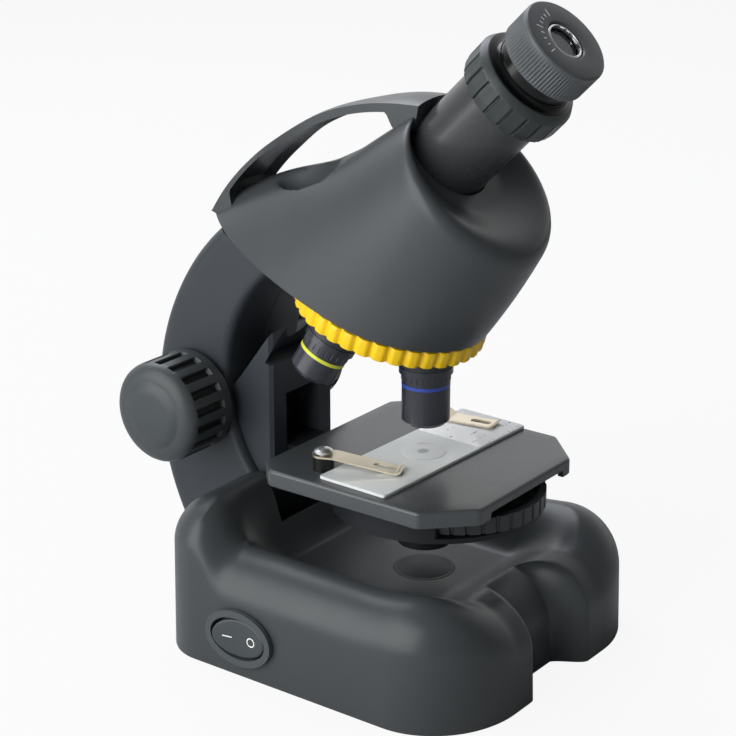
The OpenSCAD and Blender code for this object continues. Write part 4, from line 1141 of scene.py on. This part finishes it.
@dataclass
class Handle:
    """The strap handle, from the head's tail to the root of the tube: a thin strap, crowned on top
    and hollow below, that widens towards the tube and towards the tail.

    Its outer and lower arcs are given by their centre's y and z and their radius, and its runs lie
    along Y. The arcs start at the tail's angle and end at the root's, in degrees.
    """

    half_w: float = 7.0
    root_flare: float = 3.0
    root_run: Run = (38.0, -38.0)
    tail_flare: float = 4.6
    tail_run: Run = (40.3, 19.4)
    out: Triple = (-2.2, 87.2, 93.2)
    low: Triple = (-0.7, 86.5, 90.8)
    crown: float = 1.2
    crown_run: Run = (24.0, -20.0)
    hollow: float = 1.4
    deep_run: Run = (50.0, 22.0)
    solid: float = 5.0
    solid_runs: tuple[Run, Run] = ((8.5, -3.5), (70.0, 4.0))
    swing_h: float = 0.35
    swing_y: float = 38.0
    swing_run: float = 19.0
    tail_at: float = 30.6
    root_at: float = 90.6
    tube_r: float = 14.0
    over_arm: float = 0.3
    rows: int = 110

    def half_width(self, y: Array) -> Array:
        """Half the strap's width at depth y: two smooth steps, one to the tube and one to the tail."""
        root, tail = step(y, self.root_run), step(y, self.tail_run)
        return self.half_w + self.root_flare * root + self.tail_flare * tail

    def swing(self, y: Array) -> Array:
        """The small swing of the strap's top edges off the plain arc: a cosine behind its top, and one
        that starts from rest in front of it.

        Args:
            y: Places in Y.
        Returns:
            The swing at each place.
        """
        wave = np.cos(math.pi * (y - self.swing_y) / self.swing_run)
        fore = np.where(y > self.swing_run, 0.5 + 0.5 * wave, 0.0)
        return self.swing_h * np.where(y > self.swing_y, wave, fore)

    def build(self, kit: Kit) -> None:
        """Makes the handle: each ring runs over the crowned top and back through the hollow, which ends
        in a solid root, moved out along the tube's radius, and a solid foot at the tail.

        Args:
            kit: Takes the pieces and gives them their finish.
        """
        a = np.radians(np.linspace(self.tail_at, self.root_at, self.rows))[:, None]
        way = np.stack([np.cos(a), np.sin(a)], -1)
        y = self.out[0] + self.out[2] * np.cos(a)
        s = np.sin(np.linspace(-math.pi / 2, math.pi / 2, 25))[None]
        crown = self.crown * (0.4 + 0.6 * step(y, self.crown_run)) * (1 - s * s)
        outer = self.out[2] + self.swing(y) + crown - 0.15 * s ** 8
        solid = sum(step(y, run) for run in self.solid_runs)
        hollow = self.hollow * np.minimum(1, 1.6 * (1 - s * s)) * (1 + 0.9 * step(y, self.deep_run))
        inner = self.low[2] - self.solid * solid + hollow * (1 - solid)
        top, under = (np.array(arc[:2]) + r[..., None] * way
                      for arc, r in ((self.out, outer), (self.low, inner)))
        x = self.half_width(y) * s
        yz = np.concatenate([top, under[:, ::-1]], 1)
        yz[..., 1] = np.maximum(yz[..., 1], Arm().lid(yz[..., 0]) + self.over_arm)
        strap = TUBE.from_row(np.concatenate([np.concatenate([x, x[:, ::-1]], 1)[..., None], yz], -1))
        strap[..., :2] *= np.maximum(1, self.tube_r / np.hypot(strap[..., 0], strap[..., 1]))[..., None]
        kit.make("strap_handle", TUBE.to_row(strap), Body.HOUSING, "head", Finish.HEAD, "carry_handle",
                 crease=24)


@dataclass
class Knob:
    """A focus knob: a domed cap with recessed slots round its side.

    Its slots sink and rise over two runs along its length.
    """

    radius: float = 17.0
    length: float = 23.0
    start: float = 20.4
    at: Pair = (79.5, 72.8)
    flutes: int = 18
    flute_half: float = 1.35
    depth: float = 1.3
    slot_runs: tuple[Run, Run] = ((4.6, 0.5), (16.8, 1.2))
    edge: float = 6.0
    dome: float = 1.1
    around: int = 540

    def rings(self, side: int) -> Array:
        """The knob's rings: a profile of radius over height, with slots pressed in where a rounded
        window in angle and height is open.

        Args:
            side: 1 for the right knob, -1 for the left one.
        Returns:
            Rings as (row, around, 3).
        """
        e, r, length, q = self.edge, self.radius, self.length, quarter(10)
        wall = np.linspace(1.2, length - e, 44)
        profile = np.concatenate([
            [[6.0, 0.0], [r - 1.4, 0.0], [r - 0.9, 0.15], [r - 0.45, 0.6]],
            np.stack([np.full_like(wall, r), wall], -1),
            np.stack([r - e + e * np.cos(q), length - e + (e - self.dome) * np.sin(q)], -1)[1:],
            [[r * 0.62, length - 0.62], [r * 0.42, length - 0.3], [r * 0.2, length - 0.07], [0.4, length]]])
        a, rr, z = turns(self.around), profile[:, :1], profile[:, 1:]
        off = phase(a, self.flutes)
        half = self.flute_half * self.flutes / (2 * math.pi * r)
        sink, rise = (step(z, run) for run in self.slot_runs)
        rr = rr - sink * (1 - rise) * (1 - step(off, (half * 0.75, half * 0.45))) * self.depth
        x = side * (self.start + z + 0 * a)
        return np.stack([x, self.at[0] + rr * np.cos(a), self.at[1] + rr * np.sin(a)], -1)

    def build(self, kit: Kit) -> None:
        """Makes both knobs."""
        for side, name in ((-1, "knob_left"), (1, "knob_right")):
            kit.make("focus_" + name, self.rings(side), Body.KNOBS, "dark", Finish.KNOB, name, crease=50)


@dataclass
class Eyepiece:
    """The ribbed collar, the glossy throat and the knurled cap on the tilted tube."""

    collar_r: float = 17.0
    collar_z: Pair = (40.2, 51.1)
    ribs: int = 20
    groove: float = 0.75
    groove_run: Run = (0.055, 0.05)
    belly: float = 0.18
    bore: float = 14.0
    cap_r: float = 14.35
    cap_z: Pair = (56.8, 67.4)
    knurls: int = 84
    knurl_depth: float = 0.34
    eye_r: float = 6.5
    ticks: int = 9
    tick_r: Triple = (8.6, 9.8, 11.0)
    tick_half: float = 0.16
    tick_start: float = 88.0
    tick_step: float = 13.0
    tick_h: Pair = (-0.05, 0.06)

    def collar(self) -> Array:
        """The collar: a turned profile whose side is cut by narrow rounded grooves.

        Returns:
            Rings as (row, around, 3).
        """
        (z0, z1), r = self.collar_z, self.collar_r
        side = np.linspace(z0 + 0.35, z1 - 2.6, 12)
        profile = np.concatenate([
            [[self.bore, z0], [r - 1.1, z0], [r - 0.6, z0 + 0.12]],
            np.stack([r - 0.5 * (1 - step(side, (z0, 3))), side], -1),
            [[r - 0.1, z1 - 2.35], [r - 0.35, z1 - 1.9], [r - 1.3, z1 - 0.25], [r - 1.55, z1 - 0.05],
             [r - 1.8, z1], [self.bore, z1]]])
        a, rr, z = turns(720), profile[:, :1], profile[:, 1:]
        off = phase(a, self.ribs)
        fade = (1 - step(z, (z1 - 3.0, 0.7))) * (rr > self.bore + 0.5)
        cut = self.groove * (1 - step(off, self.groove_run))
        belly = self.belly * (1 - np.cos(off * 2 * math.pi)) * 0.5
        return circles(rr - (cut + belly) * fade, a, z)

    def cap(self) -> Array:
        """The cap: a turned profile with a fine knurl, a flat face and a stepped eye opening.

        Returns:
            Rings as (row, around, 3).
        """
        (z0, z1), r, e = self.cap_z, self.cap_r, self.eye_r
        side = np.linspace(z0 + 0.5, z1 - 1.5, 8)
        profile = np.concatenate([
            [[10.0, z0], [r - 0.7, z0], [r - 0.2, z0 + 0.2]], np.stack([np.full_like(side, r), side], -1),
            [[r, z1 - 1.2], [r - 0.12, z1 - 0.6], [r - 0.5, z1 - 0.18], [r - 1.1, z1], [e + 1.2, z1],
             [e + 0.35, z1 - 0.1], [e, z1 - 0.5], [e, z1 - 1.2], [e - 0.7, z1 - 1.6], [e - 0.8, z1 - 3.4],
             [e - 0.8, z0]]])
        a, rr, z = turns(self.knurls * 10), profile[:, :1], profile[:, 1:]
        fade = step(z, (z0 + 0.3, 0.4)) * (1 - step(z, (z1 - 1.9, 0.5))) * (rr > r - 0.3)
        return circles(rr - self.knurl_depth * fade * (0.5 - 0.5 * np.cos(a * self.knurls)) ** 1.4, a, z)

    def scale(self) -> Skin:
        """Small raised ticks on the face, as on a dial: short bars set on an arc, every fourth one longer.

        Returns:
            The skin of all the ticks.
        """
        skin, z, h = Skin(), self.cap_z[1], self.tick_half
        for k in range(self.ticks):
            box = rectangle(self.tick_r[0], self.tick_r[2 if k % 4 == 0 else 1], -h, h)
            tick = spin(box, self.tick_start + self.tick_step * k)
            skin.add(TUBE.to_row(np.stack([at_height(tick, z + lift) for lift in self.tick_h])))
        return skin

    def build(self, kit: Kit) -> None:
        """Makes collar, throat, cap, its ticks and the bright lens ring.

        Args:
            kit: Takes the pieces and gives them their finish.
        """
        mouth, face = self.collar_z[1], self.cap_z[1]
        throat = lathe([(12.4, mouth - 2.4), (15.2, mouth - 1.2), (15.3, mouth - 0.1), (14.9, mouth + 0.15),
                        (14.2, mouth + 0.3), (13.4, mouth + 0.65), (12.8, mouth + 1.1), (12.45, mouth + 1.5),
                        (12.35, mouth + 1.5)], 128)
        ring = lathe([(5.3, face - 1.6), (6.45, face - 1.5), (6.4, face - 1.0), (6.2, face - 0.7),
                      (5.9, face - 0.5), (5.6, face - 0.45), (5.4, face - 0.6), (5.3, face - 0.9)])
        kit.make("eyepiece_grip", TUBE.to_row(self.collar()), Body.COLLAR, "dark", Finish.COLLAR,
                 "eyepiece_collar", loop=True, crease=30)
        kit.make("collar_throat", TUBE.to_row(throat), Body.COLLAR, "dark", Finish.NECK, loop=True, crease=40)
        kit.make("eyepiece_top", TUBE.to_row(self.cap()), Body.EYEPIECE, "dark", Finish.CAP,
                 "eyepiece_cap", loop=True, crease=30)
        kit.put(self.scale().build("eyepiece_ticks"), Body.EYEPIECE, "dark", Finish.WHITE)
        kit.make("eye_ring", TUBE.to_row(ring), Body.EYEPIECE, "chrome", Finish.CHROME, loop=True)
        kit.dress(Finish.NECK, "eyepiece_barrel")
        kit.dress(Finish.TUBE, "eyepiece_tube")
        kit.dress(Finish.EYE, "eyepiece_lenses")


@dataclass
class Stage:
    """The table: a flat tray with cut corners, a light hole, a skirt all round and a gap in its front."""

    top: float = STAGE_TOP
    width: float = 79.3
    depth: float = 77.2
    thick: float = 5.5
    skin: float = 2.8
    skirt: float = 2.2
    round_r: float = 1.0
    front_cut: float = 13.8
    rear_cut: float = 6.0
    hole_r: float = 8.0
    lip: float = 1.03
    gap: Pair = (-20.0, 22.0)
    gap_h: float = 2.3

    def outline(self) -> Array:
        """The stage's outline, from the middle of its front, with its corners softened.

        Returns:
            The outline as (n, 2).
        """
        w, d, f, r = self.width / 2, self.depth / 2, self.front_cut, self.rear_cut
        half = np.array([[w - f, -d], [w, f - d], [w, d - r], [w - r, d]])
        return round_loop(np.concatenate([[[0, -d]], half, half[::-1] * (-1, 1)]), 0.55, 5)

    def build(self, kit: Kit) -> None:
        """Makes the plate: rings run up the hole, over the top, round the edge and back underneath.

        Args:
            kit: Takes the pieces and gives them their finish.
        """
        rim = self.outline()
        n = outward(rim)
        a = np.arctan2(rim[:, 1], rim[:, 0])
        hole = self.hole_r * np.stack([np.cos(a), np.sin(a)], -1)
        z0, z1, r, lip = self.top - self.thick, self.top, self.round_r, hole * self.lip
        in_gap = (rim[:, 0] > self.gap[0]) & (rim[:, 0] < self.gap[1])
        lift = self.gap_h * (in_gap & (rim[:, 1] < -self.depth / 2 + 0.6))
        rows = [(hole, z1 - self.skin), (hole, z1 - 0.25), (lip, z1)]
        rows += [(blend(lip, rim - n * r, s), z1) for s in (0.3, 0.6, 0.85, 1.0)]
        rows += [(rim - n * r * (1 - math.sin(b)), z1 - r + r * math.cos(b)) for b in quarter(7)[1:]]
        rows += [(rim, z0 + 0.4 + lift), (rim - n * 0.35, z0 + lift)]
        rows += [(rim - n * self.skirt, z) for z in (z0 + lift, z1 - self.skin)]
        plate = np.stack([at_height(plan, z) for plan, z in rows])
        kit.make("stage_table", plate, Body.STAGE, "stage", Finish.STAGE, "stage_plate", loop=True, crease=30)
        kit.dress(Finish.CARRIAGE, "stage_carriage", "diaphragm_housing", "condenser_ring")
        kit.dress(Finish.WHEEL, "diaphragm_disc")
        kit.dress(Finish.NICKEL, "clip_left", "clip_right")
        kit.dress(Finish.SPACER, "clip_posts")
        kit.dress(Finish.ZINC, "clip_screws", "diaphragm_screw")
        kit.dress(Finish.STEEL, "stage_screws")
        kit.dress(Finish.CLEAR, "condenser_lens")


@dataclass
class Slide:
    """The specimen slide: a ground glass strip, a paper label at one end and a round cover slip."""

    length: float = 76.0
    width: float = 26.0
    thick: float = 1.0
    at: Pair = (1.9, 1.4)
    turn: float = -1.87
    z: float = STAGE_TOP
    label_from: float = 12.6
    margin: float = 0.3
    slip_at: Triple = (0.3, 1.0, 0.0)
    spot_at: Triple = (0.3, 1.2, 0.0)

    def slab(self, plan: Array, z0: float, z1: float, edge: float) -> Array:
        """A flat slab with chamfered edges, turned and moved to the slide's place.

        Args:
            plan: Its corners, from the slide's own middle.
            z0: Underside.
            z1: Top.
            edge: Width of the chamfer.
        Returns:
            Rings as (row, around, 3).
        """
        loop = round_loop(plan, 0.8, 2)
        small = loop - outward(loop) * edge
        rows = [(small, z0), (loop, z0 + edge * 0.6), (loop, z1 - edge * 0.6), (small, z1)]
        return np.stack([at_height(spin(p, self.turn) + self.at, z) for p, z in rows])

    def build(self, kit: Kit) -> None:
        """Makes the glass, the label, the cover slip and the specimen.

        Args:
            kit: Takes the pieces and gives them their finish.
        """
        w, h, m, top = self.length / 2, self.width / 2, self.margin, self.z + self.thick
        glass = self.slab(rectangle(-w, w, -h, h), self.z + 0.02, top, 0.18)
        label = self.slab(rectangle(self.label_from, w - m, m - h, h - m), top + 0.01, top + 0.12, 0.03)
        slip = lathe([(7.1, top + 0.01), (7.3, top + 0.06), (7.3, top + 0.12), (7.1, top + 0.17)])
        spot = lathe([(2.2, top + 0.171), (2.0, top + 0.2), (0.8, top + 0.21)], 48) * (1, 0.8, 1)
        home = (Body.STAGE, "slide")
        kit.make("slide_glass", glass, *home, Finish.SLIDE, "specimen_slide", crease=20)
        kit.make("slide_label", label, *home, Finish.LABEL)
        kit.make("cover_slip", slip + self.slip_at, *home, Finish.SLIP, crease=20)
        kit.make("specimen_smear", spot + self.spot_at, *home, Finish.SPECIMEN)


@dataclass
class Turret:
    """The nosepiece's grip ring and its objectives."""

    ring_r: float = 31.3
    thick: float = 5.7
    scallops: int = 36
    depth: float = 1.15
    bore: float = 26.5

    def build(self, kit: Kit) -> None:
        """Makes the scalloped ring: its radius falls in rounded flutes, and its edges are eased.

        Args:
            kit: Takes the pieces and gives them their finish.
        """
        a, t = turns(self.scallops * 20), self.thick
        r = self.ring_r - self.depth * (0.5 - 0.5 * np.cos(self.scallops * a)) ** 3
        edge = [(-0.7, 0.0), (-0.25, 0.12), (0.0, 0.6), (0.0, t * 0.5), (0.0, t - 0.6), (-0.25, t - 0.12),
                (-0.7, t)]
        rows = [circles(self.bore, a, z) for z in (t, 0.0)] + [circles(r + d, a, z) for d, z in edge]
        kit.make("turret_grip", TURRET.to_row(np.stack(rows)), Body.TURRET, "yellow", Finish.YELLOW,
                 "grip_ring", loop=True, crease=40)
        kit.dress(Finish.OBJECTIVE, "objective_high", "objective_medium", "objective_low")
        kit.dress(Finish.NOSE, "nosepiece")
        kit.dress(Finish.BLUE, "ring_high")
        kit.dress(Finish.LIME, "ring_medium")
        kit.dress(Finish.RED, "ring_low")
        kit.dress(Finish.CLEAR, "objective_lenses")
        kit.dress(Finish.STEEL, "turret_screw", "detent_plunger")


@dataclass
class Switch:
    """The rocker of the switch, with generic off and on marks laid in its hollow top."""

    tilt: float = 5.0
    pivot: float = -4.2
    hollow_r: float = 42.0
    hollow_at: float = 5.3
    oval: Pair = (9.9, 6.45)
    off_at: float = -4.6
    on_at: float = 4.4
    bar: Pair = (1.7, 0.2)

    def lay(self, y: Array, z: Array, lift: float) -> Array:
        """Lays points on the rocker: up to its hollow cylinder, then tilted.

        Args:
            y: Along the rocker, positive to the back.
            z: Up the rocker.
            lift: Height above the surface.
        Returns:
            Points in the row frame.
        """
        h = self.hollow_at + self.hollow_r - np.sqrt(self.hollow_r ** 2 - y ** 2) + lift
        along = spin(np.stack([y, h], -1), self.tilt)
        out = -BASE_HALF_W - (along[..., 1] + self.pivot)
        return np.stack([out, SWITCH_AT[0] + along[..., 0], SWITCH_AT[1] + z], -1)

    def build(self, kit: Kit) -> None:
        """Makes the oval rocker, then the bar and the circle as thin inlays.

        Args:
            kit: Takes the pieces and gives them their finish.
        """
        a, home = turns(96), (Body.ROCKER, "switch")
        c, s = np.cos(a), np.sin(a)
        edge = [(1.0, -3.4), (1.0, -0.9), (0.985, -0.35), (0.95, -0.08)]
        edge += [(share, 0.0) for share in (0.9, 0.6, 0.3, 0.02)]
        rocker = np.stack([self.lay(self.oval[0] * k * c, self.oval[1] * k * s, h) for k, h in edge])
        kit.make("switch_rocker", rocker, *home, Finish.ROCKER, "rocker_switch", crease=40)
        wire = ((1.2, 0.02), (1.24, 0.06), (1.56, 0.06), (1.6, 0.02), (1.55, -0.1), (1.25, -0.1))
        off = np.stack([self.lay(self.off_at + r * c, r * s, h) for r, h in wire])
        kit.make("mark_off", off, *home, Finish.WHITE, loop=True)
        w, h = self.bar
        box = round_loop(rectangle(-w, w, -h, h), 0.12, 1)
        on = np.stack([self.lay(self.on_at + box[:, 0], box[:, 1], lift) for lift in (-0.1, 0.06)])
        kit.make("mark_on", on, *home, Finish.WHITE)
        kit.dress(Finish.BEZEL, "switch_bezel")
        kit.dress(Finish.SWITCH, "switch_body")


def dress_inner_parts(kit: Kit) -> None:
    """Finishes the carried-over nodes of the base and the head.

    Args:
        kit: Takes the pieces and gives them their finish.
    """
    kit.dress(Finish.DARK, "base_plate", "battery_door", "head_plate", "prism_bracket")
    kit.dress(Finish.STEEL, "door_screw", "base_screws", "arm_screws", "head_screws", "focus_shaft",
              "battery_contacts")
    kit.dress(Finish.CELL, "battery_cells")
    kit.dress(Finish.RUBBER, "rubber_feet")
    kit.dress(Finish.BOARD, "led_board")
    kit.dress(Finish.LAMP, "led_lamp")
    kit.dress(Finish.WINDOW, "lamp_window")
    kit.dress(Finish.WIRE, "wires")
    kit.dress(Finish.BRASS, "shaft_bushes")
    kit.dress(Finish.GEAR, "focus_pinion")
    kit.dress(Finish.CLEAR, "prism")


@dataclass
class Studio:
    """A pale floor, soft lamps and the camera, in metres and degrees."""

    eye: Triple = (-0.5007, -0.3491, 0.3115)
    down: float = 19.61
    aside: float = 53.39
    lens: float = 100.27
    ambient: float = 0.07
    room: float = 0.22
    wall: float = 1.0
    floor_r: float = 4.0
    floor_tone: float = 0.62
    glow: float = 0.91

    def lamp(self, name: str, place: Triple, aim_z: float, size: float,
             power: float, tint: str = "#ffffff") -> None:
        """Hangs a square soft lamp that faces the middle of the object.

        Args:
            name: The lamp's name.
            place: Where it hangs.
            aim_z: The height that it faces on the Z axis.
            size: Its side.
            power: Its power in watts.
            tint: Its colour.
        """
        data = bpy.data.lights.new(name, "AREA")
        data.size, data.energy, data.color = size, power, linear(tint)[:3]
        lamp = stand(name, data)
        lamp.location = place
        way = Vector((0, 0, aim_z)) - Vector(place)
        lamp.rotation_euler = way.to_track_quat("-Z", "Y").to_euler()

    def world(self) -> None:
        """A dim surround that the camera and glass see as plain white. Polished faces see a white wall
        behind the object and a darker room in front: the share of wall rises with the ray's run along
        the camera's heading."""
        world = bpy.data.worlds.new("surround")
        bpy.context.scene.world = world
        world.use_nodes = True
        tree = Tree(world.node_tree)
        heading = math.radians(self.aside)
        way = tree.node("TexCoord", {}, {}).outputs["Generated"]
        along = tree.node("VectorMath", {"operation": "DOT_PRODUCT"},
                          {0: way, 1: (math.sin(heading), math.cos(heading), 0)}).outputs["Value"]
        wall = tree.node("MapRange", {"interpolation_type": "SMOOTHSTEP"},
                         {"Value": along, "From Min": 0.1, "From Max": 0.8, "To Min": self.room,
                          "To Max": self.wall}).outputs["Result"]
        rays = tree.node("LightPath", {}, {}).outputs
        level: bpy.types.NodeSocket | float = self.ambient
        for ray, sight in (("Is Glossy Ray", wall), ("Is Transmission Ray", 1.0), ("Is Camera Ray", 1.0)):
            level = tree.node("Mix", {}, {0: rays[ray], 2: level, 3: sight}).outputs[0]
        back = tree.node("Background", {}, {"Color": (1, 1, 1, 1), "Strength": level})
        tree.node("OutputWorld", {}, {0: back.outputs[0]})

    def floor(self) -> None:
        """A wide pale floor that the camera sees almost white, with the shadow kept."""
        mesh = bpy.data.meshes.new("floor")
        mesh.from_pydata(circles(self.floor_r, turns(64), -0.0001), [], [list(range(64))])
        g = Graph("floor_paint")
        g.feed({"Base Color": (self.floor_tone,) * 3 + (1,), "Roughness": 0.9})
        glow = g.node("Emission", {}, {"Color": (1, 1, 1, 1), "Strength": 1.0})
        rays = g.node("LightPath", {}, {}).outputs
        camera = Wire(g, rays["Is Camera Ray"])
        seen = camera.math("MAXIMUM", camera, rays["Is Transmission Ray"]) * self.glow
        mixed = g.node("MixShader", {}, {0: seen, 1: g.shader.outputs[0], 2: glow.outputs[0]})
        g.join(g.out, {0: mixed.outputs[0]})
        mesh.materials.append(g.material)
        floor = stand("floor", mesh)

    def build(self) -> None:
        """Sets the stage, the lamps and the camera."""
        self.world()
        self.floor()
        self.lamp("key_lamp", (-1.1, 0.35, 0.5), 0.1, 1.5, 28.0)
        self.lamp("fill_lamp", (-0.3, -1.3, 0.9), 0.08, 1.6, 0.9, "#f4f8ff")
        self.lamp("back_lamp", (0.35, 0.7, 1.0), 0.12, 0.8, 9.0, "#f2f6ff")
        data = bpy.data.cameras.new("camera")
        data.lens, data.sensor_width, data.clip_start = self.lens, 36.0, 0.02
        camera = stand("camera", data)
        camera.location = self.eye
        camera.rotation_euler = (math.radians(90 - self.down), 0.0, math.radians(-self.aside))
        bpy.context.scene.camera = camera
        bpy.context.scene.view_settings.view_transform = "Standard"


def main() -> None:
    """Builds everything in order."""
    logging.basicConfig(level=logging.INFO, format="%(name)s: %(message)s")
    kit = Kit(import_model())
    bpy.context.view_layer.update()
    Studio().build()
    dress_inner_parts(kit)
    for part in (Base(), Arm(), Head(), Handle(), Knob(), Eyepiece(), Stage(), Slide(), Turret(), Switch()):
        LOG.info("building %s", type(part).__name__)
        part.build(kit)


if __name__ == "__main__":
    main()
